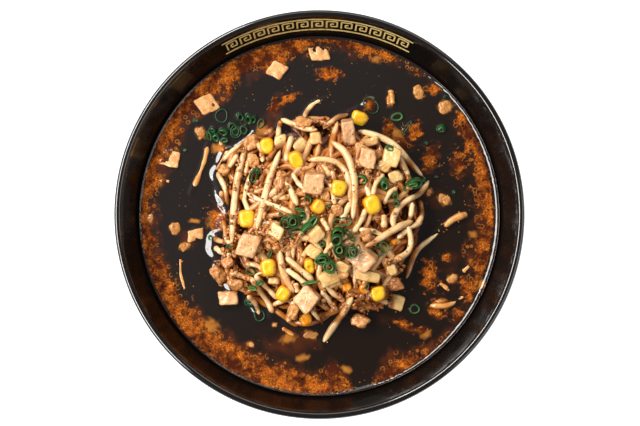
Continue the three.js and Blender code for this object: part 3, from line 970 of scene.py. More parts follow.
def strand_arrays(pile, strands, give, ceiling, spread):
    """Strands laid on the pile one after another, each under its own ceiling over the dome."""
    paths, radii = [], []
    for number, (radius, tail, points) in enumerate(strands):
        radius *= STRAND_FINENESS * MM
        height = (ceiling + spread * (number * GOLDEN_SHARE % 1 * 2 - 1)) * MM
        paths.append(lay_strand(pile, np.asarray(points, float) * MM, radius, give * MM, height))
        radii.append(strand_radii(radius, tail))
    return tubes(paths, radii, STRAND_SIDES)


def random_strands(pile, rng, count, lengths, thickness, root, every, lie):
    """A layer of random sprouts: each starts anywhere in the heap and bends steadily."""
    plans = []
    while len(plans) < count:
        middle = HEAP_CENTRE / MM + rng.uniform(-60, 60, 2)
        heading = rng.uniform(0, FULL_TURN)
        bend = rng.normal(0, 0.035)
        steps = np.linspace(-1, 1, 5) * rng.uniform(*lengths)
        turn = heading + bend * steps
        points = middle + np.stack([np.cos(turn), np.sin(turn)], -1) * steps[:, None]
        if heap_share(points[:, 0] * MM, points[:, 1] * MM).max() < 0.99:
            plans.append(points)
    strands = [(rng.uniform(*thickness), root * (k % every == 0), p) for k, p in enumerate(plans)]
    return strand_arrays(pile, strands, *lie)


# ------------------------------------------------------------------ lumps, dice and kernels


def sphere_ways(rings, sides):
    """Unit directions over a sphere, ring by ring from the bottom to the top."""
    tilt = np.linspace(-math.pi / 2, math.pi / 2, rings + 2)[1:-1][:, None]
    turn = around(sides)[None, :]
    parts = [np.cos(tilt) * np.cos(turn), np.cos(tilt) * np.sin(turn), np.sin(tilt) + 0 * turn]
    return np.stack(parts, -1)


def blocks(sizes, blunt, rings, sides):
    """Blunted boxes: direction / (|x|^p + |y|^p + |z|^p)^(1/p), times half of each box's sides."""
    way = sphere_ways(rings, sides)
    unit = way / (np.abs(way) ** blunt).sum(-1, keepdims=True) ** (1 / blunt)
    return unit[None] * (sizes / 2)[:, None, None, :]


def roughened(shapes, pitch, depth, seed):
    """Pushes a body's surface in and out along its own radius by smooth noise of its own phase."""
    out = shapes - shapes.mean((1, 2), keepdims=True)
    length = np.linalg.norm(out, axis=-1, keepdims=True)
    shifted = shapes + np.arange(len(shapes))[:, None, None, None] * 0.37
    return shapes + out / length * waves(shifted, pitch * MM, seed, 14)[..., None] * depth * MM


def skewed(shapes, amount, seed):
    """Shears and stretches each body a little in its own random way, so that no two are alike."""
    rng = np.random.default_rng(seed)
    matrices = np.eye(3) + rng.uniform(-amount, amount, (len(shapes), 3, 3))
    return np.einsum("kij,krsj->krsi", matrices, shapes)


def placed(shapes, turns, leans, middles):
    """Leans every body about X, turns it about Z, and moves it to its middle."""
    t, lean = np.radians(turns), np.radians(leans)
    zero, one = np.zeros_like(t), np.ones_like(t)
    about_x = [one, zero, zero, zero, np.cos(lean), -np.sin(lean), zero, np.sin(lean), np.cos(lean)]
    about_z = [np.cos(t), -np.sin(t), zero, np.sin(t), np.cos(t), zero, zero, zero, one]
    about_x, about_z = (np.stack(m, -1).reshape(-1, 3, 3) for m in (about_x, about_z))
    matrices = about_z @ about_x
    return np.einsum("kij,krsj->krsi", matrices, shapes) + np.asarray(middles)[:, None, None, :]


def block_arrays(rows, middles, blunt, pitch, depth, seed):
    """Cut blocks from rows of a table: skewed, roughened coarsely and finely, leaned and placed."""
    shapes = skewed(blocks(rows[:, 2:5] * MM, blunt, 30, 44), 0.14, seed)
    shapes = roughened(shapes, pitch, depth, seed)
    shapes = roughened(shapes, pitch * 0.3, depth * 0.35, seed + 1)
    return placed(shapes, rows[:, 5], rows[:, 6], middles)


def kernel_arrays(rows, middles):
    """Kernels: blunt blocks that taper to one end, with a shallow dimple in the crown; and how
    near the crown each point is."""
    x, y, z = np.moveaxis(blocks(np.full((len(rows), 3), 2.0), 2.9, 24, 36), -1, 0)
    crown = np.clip(z, 0, None)
    dimple = 0.16 * crown * np.exp(-(x ** 2 + (y - 0.15) ** 2) / 0.16)
    taper = 1 - 0.14 * (1 - y) / 2
    half = (rows[:, 2:5] * MM / 2)[:, None, None, :]
    shapes = roughened(np.stack([x * taper, y, z - dimple], -1) * half, 4, 0.25, 61)
    return placed(shapes, rows[:, 5], rows[:, 6], middles), crown


def ring_arrays(rows, middles):
    """Spring onion rings: an uneven oval swept by a thin upright blunted section; and how near
    the inside of the ring each point is."""
    turn, across = around(36), around(10)
    phase = np.arange(len(rows))[:, None] * 1.7
    uneven = 1 + 0.05 * np.sin(turn * 2 + phase) + 0.04 * np.sin(turn * 3 + phase * 2)
    tall, wall = rows[:, 4, None, None] * MM, rows[:, 7, None, None] * MM / 2
    tilt = 0.12 * np.sin(turn + phase)[..., None] * tall
    blunt = np.sign(np.sin(across)) * np.abs(np.sin(across)) ** 0.6
    up = tilt - blunt * tall / 2
    half = (rows[:, 2:4] * MM / 2)[:, None, None, :] - wall[..., None]
    out = np.cos(across) * wall
    x = np.cos(turn)[None, :, None] * (half[..., 0] * uneven[..., None] + out)
    y = np.sin(turn)[None, :, None] * (half[..., 1] * uneven[..., None] + out)
    inner = np.broadcast_to((1 - np.cos(across)) / 2, x.shape)
    return placed(np.stack([x, y, up], -1), rows[:, 5], rows[:, 6], middles), inner


def lump_arrays(rng, middles, sizes, rings, sides, roughness):
    """Lumps of these sizes: spheres whose radius swells by the mean of five waves, squashed
    unevenly along each axis."""
    count = len(sizes)
    way = sphere_ways(rings, sides)
    numbers = rng.normal(0, 2.1, (count, 5, 3))
    phases = rng.uniform(0, FULL_TURN, (count, 5, 1, 1))
    wave = np.sin(np.einsum("kwj,rsj->kwrs", numbers, way) + phases).mean(1)
    squash = rng.uniform(0.65, 1.2, (count, 1, 1, 3))
    unit = way[None] * (1 + roughness * 2.2 * wave)[..., None] * squash
    return unit * sizes[:, None, None, None] + middles[:, None, None, :]


# ------------------------------------------------------------------ what lies where

# What the frame holds, piece by piece: its nodes' prefix, and for each node its number, width,
# length and height, turn and lean.
FRAMED = {
    "corn_kernels": ("corn", [
        (1, 8, 9, 7.5, 10, 8), (2, 8, 10, 7.5, 25, 14), (3, 9, 8.5, 7.5, -15, 6),
        (4, 9.5, 10, 7.5, 20, 10), (5, 9.5, 9.5, 7.5, 0, 5), (6, 8, 7, 7.5, 60, 25),
        (7, 8.5, 9.5, 7.5, 5, 12), (8, 6, 8.5, 7.5, 8, 30), (9, 8, 8.5, 7.5, -35, 25),
        (10, 8.5, 8, 7.5, 15, 10), (11, 10.5, 8.5, 7.5, -30, 15),
    ]),
    "pork_dice": ("pork", [
        (1, 11, 11, 10, -8, 8), (2, 7.5, 13, 9, 12, 24), (3, 8.5, 9, 8, -10, 10),
        (4, 9.5, 11, 9, -14, 8), (5, 12, 9, 9, -38, 20), (6, 9.5, 10.5, 8, -40, 16),
        (7, 9.5, 7.5, 8, -4, 6),
    ]),
    "onion_dice": ("onion", [
        (1, 9.5, 8.5, 7, -20, 10), (2, 8.5, 8, 7, -25, 12), (3, 7.5, 7, 7, 35, 25),
        (4, 9, 8, 7, 20, 14), (5, 7, 7.5, 7, -12, 8),
    ]),
    "pork_afloat": ("floating", [
        (1, 9, 7, 6, 8, 2), (2, 7.5, 8.5, 6, -30, 3), (3, 9, 9, 6.5, 30, 5),
        (4, 9.5, 9, 5.5, -12, 4), (5, 8, 7, 6, 10, 6),
    ]),
}

# Smaller pieces: place, width, length and height, turn and lean, and how browned.
SMALL_CORN = [
    (14, -38, 5.5, 4.5, 4, 10, 10, 0.8), (23, -39, 5, 5, 4, 30, 10, 0.8),
    (38, -15, 3.5, 3, 3, 0, 0, 0.1), (-7, -54.5, 7, 6.5, 5, 20, 5, 0.9),
]
SMALL_ONION = [
    (33, 24, 7, 6, 5, -25, 10, 0.1), (39, 19, 7, 6, 4, 20, 15, 0), (26, 37, 8, 5, 5, 10, 5, 0.4),
    (24, -32, 14, 5.5, 5, -8, 10, 0.15), (-2, 39, 6.5, 6, 6, 10, 10, 0.2),
    (-20, 37, 5.5, 7.5, 5, 8, 10, 0.1), (-10, 35, 7, 6, 5, 40, 20, 0.3),
    (-3, -20, 8, 6, 6, -30, 10, 0.1), (37, -29, 5, 5.5, 4, 30, 20, 0),
    (-23, -35, 7, 4, 5, -5, 0, 0.4), (7, -36, 8, 4, 5, 25, 20, 0.1),
    (12, -28, 7, 5, 5, -30, 15, 0.4), (-32, -18.5, 6, 4, 5, -20, 5, 0.5),
]
SMALL_PORK = [
    (11, -30, 8, 8, 6, 10, 10, 0.2), (-52, -31, 6, 9, 6, 35, 15, 0.4),
    (38, -36, 8, 8, 7, 20, 10, 1), (21, -55, 9, 7, 5, -20, 5, 0.25),
    (-8, 47.5, 10, 5, 4, -15, 5, 0.3), (-26, 42.5, 7, 5, 5, 30, 10, 0.9),
    (-35, 37, 8, 7, 5, 20, 10, 0.3), (-13, -50, 5, 8, 5, -10, 10, 0.3),
    (-49, 23, 5, 5, 4, -30, 15, 0.1), (-22, -11, 6, 5, 5, 15, 10, 0.2),
    (24, -12, 6, 6, 5, 20, 10, 0.6), (30, 30, 5, 4, 4, 30, 10, 0.3),
    (20, 25, 4, 6, 4, 10, 10, 0.2), (-47, -25, 7, 6, 5, 30, 10, 0.5),
    (-20, 16, 5, 8, 4, -20, 5, 0.6), (3, 8, 5, 5, 4, 0, 0, 0.5), (14, 47, 5, 5, 4, 30, 20, 0.3),
    (-43, -36, 7, 5, 4, -20, 10, 0.6), (9, 1, 5, 7, 4, 20, 10, 0.5),
    (-34, 27, 5, 7, 4, 20, 10, 0),
]

# Dice and lumps in the broth, with how far each is sunk, 0 to 1, at the end. Those sunk less than
# PROUD are solid; all of them glow in the broth, over GLOW of their size.
PROUD = 0.65
GLOW = 0.62
SUNK = [
    (-85, 18, 8, 7, 5, 20, 5, 0.85), (-75, -7, 5, 6, 4, 10, 5, 0.15),
    (-70, -16, 6, 4, 4, 30, 5, 0.5), (-65, -3, 6.5, 2.5, 3, -5, 0, 0.9),
    (-62, 43, 5.5, 7, 4, 10, 5, 0), (-53, 35, 8, 6, 4, 5, 0, 0.8), (-9, 88, 8, 4, 4, 10, 0, 0.7),
    (52, 64, 5, 7, 4, 20, 5, 0.5), (66, 57, 8, 7, 5, 15, 5, 0.6), (65, 8, 7, 6, 4, -20, 5, 0.5),
    (-57, -58, 10, 9, 4, 20, 5, 0.9), (-5, -62, 8, 5, 4, -10, 5, 0.6),
    (-23, -57, 3, 2.5, 3, 0, 0, 0), (-9, -74, 8, 4, 3, 10, 0, 0.85),
    (-36, -67, 4, 3, 3, 0, 0, 0.6), (-16, -64, 9, 5, 4, 15, 5, 0.7),
    (63, -46, 7, 5, 4, 20, 5, 0.5), (69, -33, 6, 5, 4, 30, 5, 0.6), (37, 60, 4, 7, 4, 0, 5, 0.5),
    (-54, -4, 9, 9, 4, 20, 0, 0.9), (40, 43, 9, 5, 3, -30, 0, 0.85),
    (-30, 44, 6, 9, 4, -20, 5, 0.8), (57, 12, 5, 4, 4, 30, 5, 0.6), (-89, -2, 5, 6, 4, 0, 5, 0.6),
    (80, -10, 5, 4, 3, 0, 5, 0.7), (30, 82, 6, 4, 3, 20, 0, 0.8), (-40, -78, 7, 5, 3, 20, 0, 0.8),
    (83, -36, 6, 5, 3, 20, 0, 0.7), (55, -62, 6, 4, 3, 20, 0, 0.8),
    (14, -80, 6, 4, 3, -20, 0, 0.8),
]

# Spring onion, with the thickness of its wall at the end, which swells in the broth.
SOAKED_WALL = 1.35
RINGS_ON_HEAP = [
    (-17.2, -5.8, 5.5, 8, 3, 10, 15, 0.9), (-17, -6, 3.4, 5.4, 3.4, 15, 10, 0.8),
    (-13.2, -5, 7, 7, 4, 0, 20, 1), (-13.4, -5.2, 4.4, 4.6, 4.4, 0, 15, 0.9),
    (-12, -11.2, 8.6, 5, 2, 12, 25, 0.8), (-8.6, -2.2, 3.4, 3, 3, 0, 60, 0.8),
    (-4.2, -5.5, 8.5, 3.4, 4, 50, 30, 1.1), (-6.5, -7.5, 6.5, 2.6, 4, 35, 40, 1),
    (-10, 1, 5.5, 1.9, 3, -12, 20, 0.8), (12, -5, 9.6, 4.6, 1.8, 4, 20, 0.7),
    (9.5, -10.6, 6.6, 5, 4, 0, 35, 1), (8.7, -14.3, 6, 6, 6, 10, 20, 1.3),
    (15.5, -12, 2.8, 9.5, 3, 38, 15, 0.8), (10.2, -20, 6.4, 6.6, 3.4, 0, 12, 0.8),
    (10.2, -19.6, 4, 4.2, 4, 0, 12, 0.9), (16.4, -20.6, 6, 7.6, 4, -25, 25, 1),
    (17, -21, 3.8, 5.2, 4.4, -25, 25, 0.9), (19.3, -19.5, 3, 5, 2, -20, 25, 0.6),
    (1.4, -24.2, 8, 6, 3.4, 8, 20, 1), (1.2, -24.4, 5, 3.6, 4, 8, 20, 0.9),
    (5.2, -28, 6.8, 6.8, 4.6, 0, 18, 1.1), (5.2, -28, 4.2, 4.4, 5, 0, 18, 0.8),
    (1.4, -16.2, 3, 3.4, 2, 0, 20, 0.6), (29.6, -19.4, 5, 6.2, 2, 20, 22, 0.7),
    (33, -17.4, 4.6, 6.2, 2, 28, 22, 0.7), (-33.6, 19, 5, 8, 3, -15, 30, 1.2),
    (-31.6, 21.4, 3, 3.6, 3, 0, 40, 1), (21.8, 17, 6, 4.6, 3, -20, 30, 1.3),
    (33.2, 15, 4.4, 5, 5, 8, 55, 1.2), (48.8, 15.4, 9.6, 5.6, 4, 12, 30, 1.2),
    (47.8, 15, 5.4, 3, 4.6, 12, 30, 1), (54, 18.2, 3.6, 1.6, 2, 60, 20, 0.8),
    (44, 12.6, 2, 2, 2, 0, 20, 0.7), (39, 8.6, 3.4, 4.4, 2.4, 20, 25, 0.8),
    (39.4, 4.8, 3.2, 4, 2.4, -20, 25, 0.8), (36, 33, 4.6, 2.6, 3, -10, 30, 1),
    (-35, -30, 5.4, 3.8, 2, -20, 20, 0.7), (-25, -21.4, 1.9, 6, 2.4, -25, 10, 0.8),
    (-5, -36, 8.4, 1.8, 2, 10, 10, 0.8), (-6, 6, 4, 4.2, 2, 0, 20, 0.6),
    (-46.4, -17, 3, 2.4, 1.8, 0, 20, 1), (-30.4, -36, 4, 3, 1.6, 0, 20, 1.3),
    (-34.2, -38.6, 5, 2.4, 2, -12, 20, 0.9), (24.4, -37.6, 2, 3.6, 2, -15, 20, 0.5),
    (0.6, -45.4, 3.4, 2.6, 1.5, 0, 10, 0.5), (5, 3, 2.6, 1.6, 1.4, 30, 10, 0.7),
    (-20, -1, 2, 1.6, 1.2, 30, 10, 0.7), (28, -10, 2, 1.4, 1.2, 0, 10, 0.6),
]
RINGS_IN_BROTH = [
    (-50, 43.6, 5.6, 4.4, 3.4, -20, 35, 1), (-45.4, 46.2, 4.6, 5.4, 3, 40, 20, 0.9),
    (-39.4, 44.6, 4.4, 5, 2.6, 0, 20, 0.8), (-41.4, 51.4, 4.2, 4.6, 3, 30, 30, 0.9),
    (-55.6, 44.6, 4.2, 3.4, 3, -30, 30, 1), (-49.6, 39.4, 4.6, 3.2, 3, 10, 25, 0.9),
    (-34.4, 50, 3.6, 4.6, 3, -30, 35, 0.9), (-51, 52, 6.8, 7.4, 1.6, 0, 4, 0.5),
    (-57.4, 41.4, 3.2, 6.4, 3, 10, 30, 1), (-53.8, 41, 4.4, 4.4, 4, 0, 45, 1.1),
    (-43.6, 43.6, 6.4, 6.8, 1.8, 0, 6, 0.6), (-43.6, 43.6, 4.2, 4.6, 1.8, 0, 6, 0.6),
    (-37, 50.4, 4.4, 6.4, 4, 5, 40, 1.2), (-30.4, 48, 4, 5.4, 2, -30, 20, 0.6),
    (-64.4, 49.6, 3.2, 2.4, 1.2, 0, 8, 0.8), (-35.6, -44.8, 6.6, 5.4, 4, 10, 20, 1.2),
    (-35.6, -44.8, 4, 3, 4.4, 10, 20, 0.9), (-31, -52, 6, 6.6, 1.6, 0, 5, 0.6),
    (63.6, 45.4, 5, 4.2, 4, -5, 50, 1.2), (55.8, 37.6, 2.6, 2, 2, 0, 20, 0.8),
    (40.6, 51.4, 6.6, 5, 1.6, 20, 10, 0.9), (27, 57.4, 7.4, 9.4, 1.2, 35, 4, 0.45),
    (45.6, 46, 2, 9, 1.2, -35, 5, 0.5), (49.4, -48.8, 5.4, 5.6, 1.6, 0, 6, 0.7),
    (-56.4, -11.8, 3, 3.2, 2, 0, 20, 1), (61, 20, 2.4, 1.4, 1.6, 0, 10, 0.7),
    (66, 62, 3, 2, 1.4, 20, 10, 0.7), (70, 12, 2, 2, 1.2, 20, 10, 0.6),
    (-70, 34, 2, 1.6, 1.2, 20, 10, 0.6),
]

# Where small things are scattered: place and half spans, count, and how browned.
MINCE_PATCHES = [
    (-37, 27, 10, 10, 7, 0.1), (-26, -14, 14, 7, 22, 0.3), (-3, 48, 10, 4, 14, 0.4),
    (-47, -25, 8, 8, 12, 0.5), (30, -46, 14, 8, 34, 1), (24, 21, 8, 6, 10, 0.4),
    (-38, 10, 8, 12, 8, 0.4), (39, -27, 6, 5, 9, 0.3), (-1, -2, 50, 50, 110, 0.5),
]
CRUMB_PATCHES = [
    (-38, 28, 11, 11, 34, 0.2), (-24, -13, 14, 8, 115, 0.3), (-3, 48, 10, 4, 50, 0.4),
    (-46, -25, 8, 8, 55, 0.5), (-42, -36, 9, 4, 35, 0.7), (30, -46, 14, 8, 100, 1),
    (41, 18, 5, 6, 30, 0.2), (1, 2, 9, 5, 40, 0.6), (24, 21, 8, 6, 25, 0.4),
    (-35, 14, 6, 8, 24, 0.4), (-20, 12, 6, 12, 55, 0.5), (39, -27, 6, 5, 35, 0.3),
    (10, -46, 9, 6, 30, 0.7), (-44, -8, 8, 9, 60, 0.5), (-1, -2, 50, 50, 155, 0.5),
]
PEPPER_PATCHES = [
    (-25, -12, 15, 9, 210), (-22, 8, 10, 16, 90), (-39, -18, 9, 8, 50), (-43, 10, 4, 26, 30),
    (14, 15, 10, 25, 50), (0, -4, 50, 48, 190),
]
BROTH_PATCHES = [
    (-75, 0, 10, 26, 45), (72, 20, 8, 24, 50), (66, -25, 7, 22, 70), (20, -70, 34, 10, 60),
    (-45, -68, 26, 9, 45), (10, 72, 40, 12, 50), (56, -30, 5, 14, 90), (48, 44, 8, 7, 45),
    (62, 34, 5, 9, 45),
]

# Half sizes from and to of what is scattered, and the share of each that is sunk in.
MINCE_SIZES = (0.7, 1.8), 0.45
CRUMB_SIZES = (0.4, 1.25), 0.25
PEPPER_SIZES = (0.18, 0.36), 0.1
BIT_SIZES = (0.22, 0.75), 0.35

# How far a block lies over the pile from its middle, as a share of its width plus its length.
REACH_ON_HEAP = 0.21
REACH_AFLOAT = 0.22

# How far over the broth's level lie the tops of dice, rings and bits that float, and the middles
# of the rings.
DICE_AFLOAT = 1.1 * MM
RINGS_AFLOAT = 1.0 * MM
RINGS_MIDDLE = 0.3 * MM
BITS_AFLOAT = 0.4 * MM

# How far over the level the heap and the smaller things have to stand for the broth to climb them.
HEAP_WETTED = 1.2 * MM
SMALL_WETTED = 0.6 * MM

# Steps and rings of the core's mesh, and how far under the broth's level its edge and its
# underside lie.
CORE_SEGMENTS = 180
CORE_RINGS = 60
CORE_EDGE = 3 * MM
CORE_UNDERSIDE = 5 * MM

# ------------------------------------------------------------------ what each piece is like

# Sprouts: piece, browning from and to, and a shift of the painted depth shade.
SPROUTS = [
    ("sprouts_inside", (0.4, 1), 0), ("sprouts_between", (0.1, 0.9), 0),
    ("sprouts_on_top", (0, 0.38), -0.15),
]

# Dice: piece, slot and finish; browning and a shift of the painted depth shade, each as a base
# and what it gains by the last number of the row; and the cut: how blunt, pitch and depth of its
# roughness, and seed.
DICE = [
    ("pork_dice", "pork", "pork", (0.25, 0), (0, 0), (14, 4, 0.5, 71)),
    ("pork_afloat", "pork", "pork_afloat", (0.3, 0), (0.1, 0), (14, 4, 0.45, 72)),
    ("pork_small", "pork", "mince", (0, 1), (0, 0), (3.6, 4, 0.7, 73)),
    ("pork_sunk", "pork", "pork_sunk", (0.4, 0), (-0.2, 0.3), (3.4, 4, 0.6, 74)),
    ("onion_dice", "onion", "onion_flesh", (0.2, 0), (0, 0), (10, 5, 0.45, 75)),
    ("onion_small", "onion", "onion_flesh", (0, 1), (0, 0.5), (5, 5, 0.5, 76)),
]

# Kernels: piece, and how pale the crown is.
KERNELS = [("corn_kernels", 1), ("corn_small", 0.3)]

# Lumps: piece, slot and finish, a shift of the painted depth shade, and rings, sides and
# roughness of each. The mince, which is the largest, has a finer roughness as well, by pitch, depth
# and seed.
LUMPS = [
    ("mince_lumps", "pork", "mince", 0, (11, 14, 0.45)),
    ("mince_crumbs", "pork", "crumbs", 0, (5, 6, 0.4)),
    ("broth_bits", "broth", "broth_bits", -0.4, (5, 6, 0.35)),
    ("pepper_grains", "bean_sprout", "ground_pepper", 0, (3, 5, 0.32)),
]
FINER = {"mince_lumps": (1.6, 0.25, 77)}


# ------------------------------------------------------------------ laying the food


def frame_rows(prefix, table):
    """Rows of place, size, turn and lean, with the places taken from the frame's nodes."""
    rows, nodes = [], []
    for number, *sizes in table:
        nodes.append(f"{prefix}_{number}")
        low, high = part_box(nodes[-1])
        middle = (low + high) / 2
        rows.append((middle.x / MM, middle.y / MM, *sizes, 0.0))
    return np.array(rows), nodes


def lay_blocks(pile, rows, sunk_share):
    """Rests each block on the pile, sunk in by a share of its height, and gives the middles."""
    middles = []
    for x, y, wide, long, tall, *_ in rows:
        reach = REACH_ON_HEAP * (wide + long) * MM
        x, y, tall = x * MM, y * MM, tall * MM
        top = pile.rest(x, y, reach)[0] - reach + tall * (1 - sunk_share)
        pile.cover(x, y, top, reach * 1.1, flat=True)
        middles.append((x, y, top - tall / 2))
    return np.array(middles)


def lay_afloat(pile, rows, tops):
    """Marks on the pile what floats with its top at a given height, and gives the middles."""
    tops = np.broadcast_to(tops, len(rows))
    for (x, y, wide, long, *_), top in zip(rows, tops):
        pile.cover(x * MM, y * MM, top, REACH_AFLOAT * (wide + long) * MM, flat=True)
    return np.column_stack([rows[:, :2] * MM, tops - rows[:, 4] * MM / 2])


def lay_lumps(pile, rng, patches, sizes, sunk_share, on_heap=True):
    """Lumps scattered over patches and rested on the pile: middles, half sizes and browning."""
    spots, browns = [], []
    for x, y, wide, long, count, *brown in patches:
        angle = rng.uniform(0, FULL_TURN, count)
        away = np.sqrt(rng.uniform(0, 1, count))
        plan = [x + wide * away * np.cos(angle), y + long * away * np.sin(angle)]
        spots.append(np.stack(plan, -1) * MM)
        browns.append(np.clip(rng.normal(brown[0] if brown else 0.5, 0.22, count), 0, 1))
    spots, browns = np.concatenate(spots), np.concatenate(browns)
    x, y = spots.T
    inside = heap_share(x, y) < 0.985 if on_heap else np.hypot(x, y) < 90 * MM
    x, y = x[inside], y[inside]
    low, high = sizes
    size = (rng.uniform(0, 1, len(x)) ** 2 * (high - low) + low) * MM
    z = pile.rest(x, y, 0.6 * MM) - 0.6 * MM + size * (1 - 2 * sunk_share)
    return np.column_stack([x, y, z]), size, browns[inside]


def lay_food(pile, rng):
    """Lays everything on the pile from the bottom up. Gives, for each piece, arrays of strands,
    (rows, middles, nodes) of dice, kernels and rings, or (middles, sizes, browning) of lumps."""
    laid = {}
    for name, layer in RANDOM_SPROUTS.items():
        laid[name] = random_strands(pile, rng, *layer)
    laid["mince_lumps"] = lay_lumps(pile, rng, MINCE_PATCHES, *MINCE_SIZES)
    pile.cover(*laid["mince_lumps"][0].T, 0.9 * MM)
    laid["sprouts_on_top"] = strand_arrays(pile, TOP_SPROUTS, *TOP_LIE)
    pile.settle()
    pile.heap_shore = pile.shore(LEVEL + HEAP_WETTED, 9)
    laid["mince_crumbs"] = lay_lumps(pile, rng, CRUMB_PATCHES, *CRUMB_SIZES)

    rows = {name: frame_rows(*table) for name, table in FRAMED.items()}
    for name, table in (
        ("pork_small", SMALL_PORK), ("onion_small", SMALL_ONION), ("corn_small", SMALL_CORN),
        ("pork_sunk", [row for row in SUNK if row[7] < PROUD]),
        ("on_heap", RINGS_ON_HEAP), ("in_broth", RINGS_IN_BROTH),
    ):
        rows[name] = np.array(table, float), ()
    for name, sunk_share in (
        ("pork_small", 0.7), ("onion_small", 0.6), ("corn_kernels", 0.6), ("pork_dice", 0.55),
        ("onion_dice", 0.55), ("corn_small", 0.7),
    ):
        laid[name] = rows[name][0], lay_blocks(pile, rows[name][0], sunk_share), rows[name][1]

    proud, _ = rows["pork_sunk"]
    tops = LEVEL + (0.9 - proud[:, 7]) * 0.9 * MM + 0.2 * MM
    laid["pork_sunk"] = proud, lay_afloat(pile, proud, tops), ()
    dice, nodes = rows["pork_afloat"]
    laid["pork_afloat"] = dice, lay_afloat(pile, dice, LEVEL + DICE_AFLOAT), nodes
    laid["sprouts_afloat"] = strand_arrays(pile, BROTH_SPROUTS, *AFLOAT_LIE)
    rings, _ = rows["on_heap"]
    flattened = rings.copy()
    flattened[:, 4] = np.maximum(rings[:, 4] * 0.7, 1.2)
    laid["rings_on_heap"] = rings, lay_blocks(pile, flattened, 0.25)
    soaked, _ = rows["in_broth"]
    lay_afloat(pile, soaked, LEVEL + RINGS_AFLOAT)
    soaked[:, 7] *= SOAKED_WALL
    middles = np.insert(soaked[:, :2] * MM, 2, LEVEL + RINGS_MIDDLE, axis=1)
    laid["rings_in_broth"] = soaked, middles

    laid["pepper_grains"] = lay_lumps(pile, rng, PEPPER_PATCHES, *PEPPER_SIZES)
    bits = lay_lumps(pile, rng, BROTH_PATCHES, *BIT_SIZES, on_heap=False)
    bits[0][:, 2] = np.minimum(bits[0][:, 2], LEVEL + BITS_AFLOAT)
    laid["broth_bits"] = bits
    pile.small_shore = pile.shore(LEVEL + SMALL_WETTED, 2)
    return laid


# ------------------------------------------------------------------ making the food


def make_bodies(name, arrays, material, slot, pile, tone, shade_shift=0.0, nodes=(), **carried):
    """One piece of many closed bodies, carrying how browned each body is and, as painted shade, how
    far under the pile's tops each point lies, with a shade shift for each body added to it."""
    vertices, faces = shells(arrays)
    each = len(vertices) // len(arrays)
    tone, shade_shift = (np.repeat(np.broadcast_to(n, len(arrays)), each) for n in (tone, shade_shift))
    # Painted shade by how far under the pile's tops each point lies, shifted for each body.
    attributes = {"depth_shade": np.clip(pile.depth(vertices) + shade_shift, 0, 1), "tone": tone}
    for label, grid in carried.items():
        ends = grid[:, [0, -1]].mean(2)
        attributes[label] = np.concatenate([grid.reshape(len(grid), -1), ends], 1)
    finish_piece(make_piece(name, vertices, faces, attributes), material, nodes)


def make_core(pile, material):
    """The core: rings over the heap's plan, raised to the core's top and bumps of smooth noise,
    closed underneath."""
    turn = around(CORE_SEGMENTS)
    share = np.linspace(0.01, 1.04, CORE_RINGS)[:, None]
    reach = share * lobed(turn, HEAP_REACH, HEAP_LOBES)
    x = HEAP_CENTRE[0] + reach * np.cos(turn)
    y = HEAP_CENTRE[1] + reach * np.sin(turn)
    plan = np.stack([x, y], -1)
    bumps = waves(plan, 5 * MM, 31, 14) * 1.2 * MM + waves(plan, 2 * MM, 32, 14) * 0.4 * MM
    top = np.stack([x, y, np.maximum(core_top(x, y) + bumps, LEVEL - CORE_EDGE)], -1)
    under = np.stack([x, y, LEVEL - CORE_UNDERSIDE + 0 * x], -1)
    vertices, faces = shells(np.concatenate([under, top[::-1]])[None])
    # Painted shade by how far under the pile's tops each point lies.
    attributes = {"depth_shade": pile.depth(vertices), "tone": np.full(len(vertices), 0.8)}
    core = make_piece("heap_core", vertices, faces, attributes)
    finish_piece(core, material, ["sprout_heap"])


def make_rings(rng, on_heap, in_broth):
    """Spring onion rings, paler on the heap and darker in the broth."""
    rows, middles = (np.concatenate(pair) for pair in zip(on_heap, in_broth))
    arrays, inner = ring_arrays(rows, middles)
    vertices, faces = tori(arrays)
    tones = [rng.uniform(0, 0.8, len(on_heap[0])), rng.uniform(-0.5, 0.3, len(in_broth[0]))]
    tone = np.repeat(np.concatenate(tones), inner[0].size)
    rings = make_piece("onion_rings", vertices, faces, {"inner": inner.ravel(), "tone": tone})
    finish_piece(rings, spring_onion())


def make_food(pile):
    """Lays everything on the pile, then makes one piece of each kind."""
    rng = np.random.default_rng(20)
    laid = lay_food(pile, rng)
    finishes = {name: meat(name, *looks) for name, looks in MEATS.items()}
    finishes.update(onion_flesh=onion_flesh(), ground_pepper=ground_pepper())
    sprout, skin = bean_sprout(), corn_skin()
    make_core(pile, finishes["heap_core"])
    for name, tones, shade_shift in SPROUTS:
        tone = rng.uniform(*tones, len(laid[name]))
        make_bodies(name, laid[name], sprout, "bean_sprout", pile, tone, shade_shift)
    make_bodies("sprouts_afloat", laid["sprouts_afloat"], sprout, "bean_sprout", pile, 0.9, 0.16)
    for name, slot, finish, tone, shade_shift, cut in DICE:
        rows, middles, nodes = laid[name]
        tone, shade_shift = (base + gain * rows[:, 7] for base, gain in (tone, shade_shift))
        arrays = block_arrays(rows, middles, *cut)
        make_bodies(name, arrays, finishes[finish], slot, pile, tone, shade_shift, nodes)
    for name, paleness in KERNELS:
        rows, middles, nodes = laid[name]
        arrays, crown = kernel_arrays(rows, middles)
        crown = crown * paleness
        make_bodies(name, arrays, skin, "sweetcorn", pile, 0, nodes=nodes, crown=crown)
    for name, slot, finish, shade_shift, shape in LUMPS:
        middles, sizes, tone = laid[name]
        arrays = lump_arrays(rng, middles, sizes, *shape)
        if name in FINER:
            arrays = roughened(arrays, *FINER[name])
        make_bodies(name, arrays, finishes[finish], slot, pile, tone, shade_shift)
    make_rings(rng, laid["rings_on_heap"], laid["rings_in_broth"])


# ------------------------------------------------------------------ staging

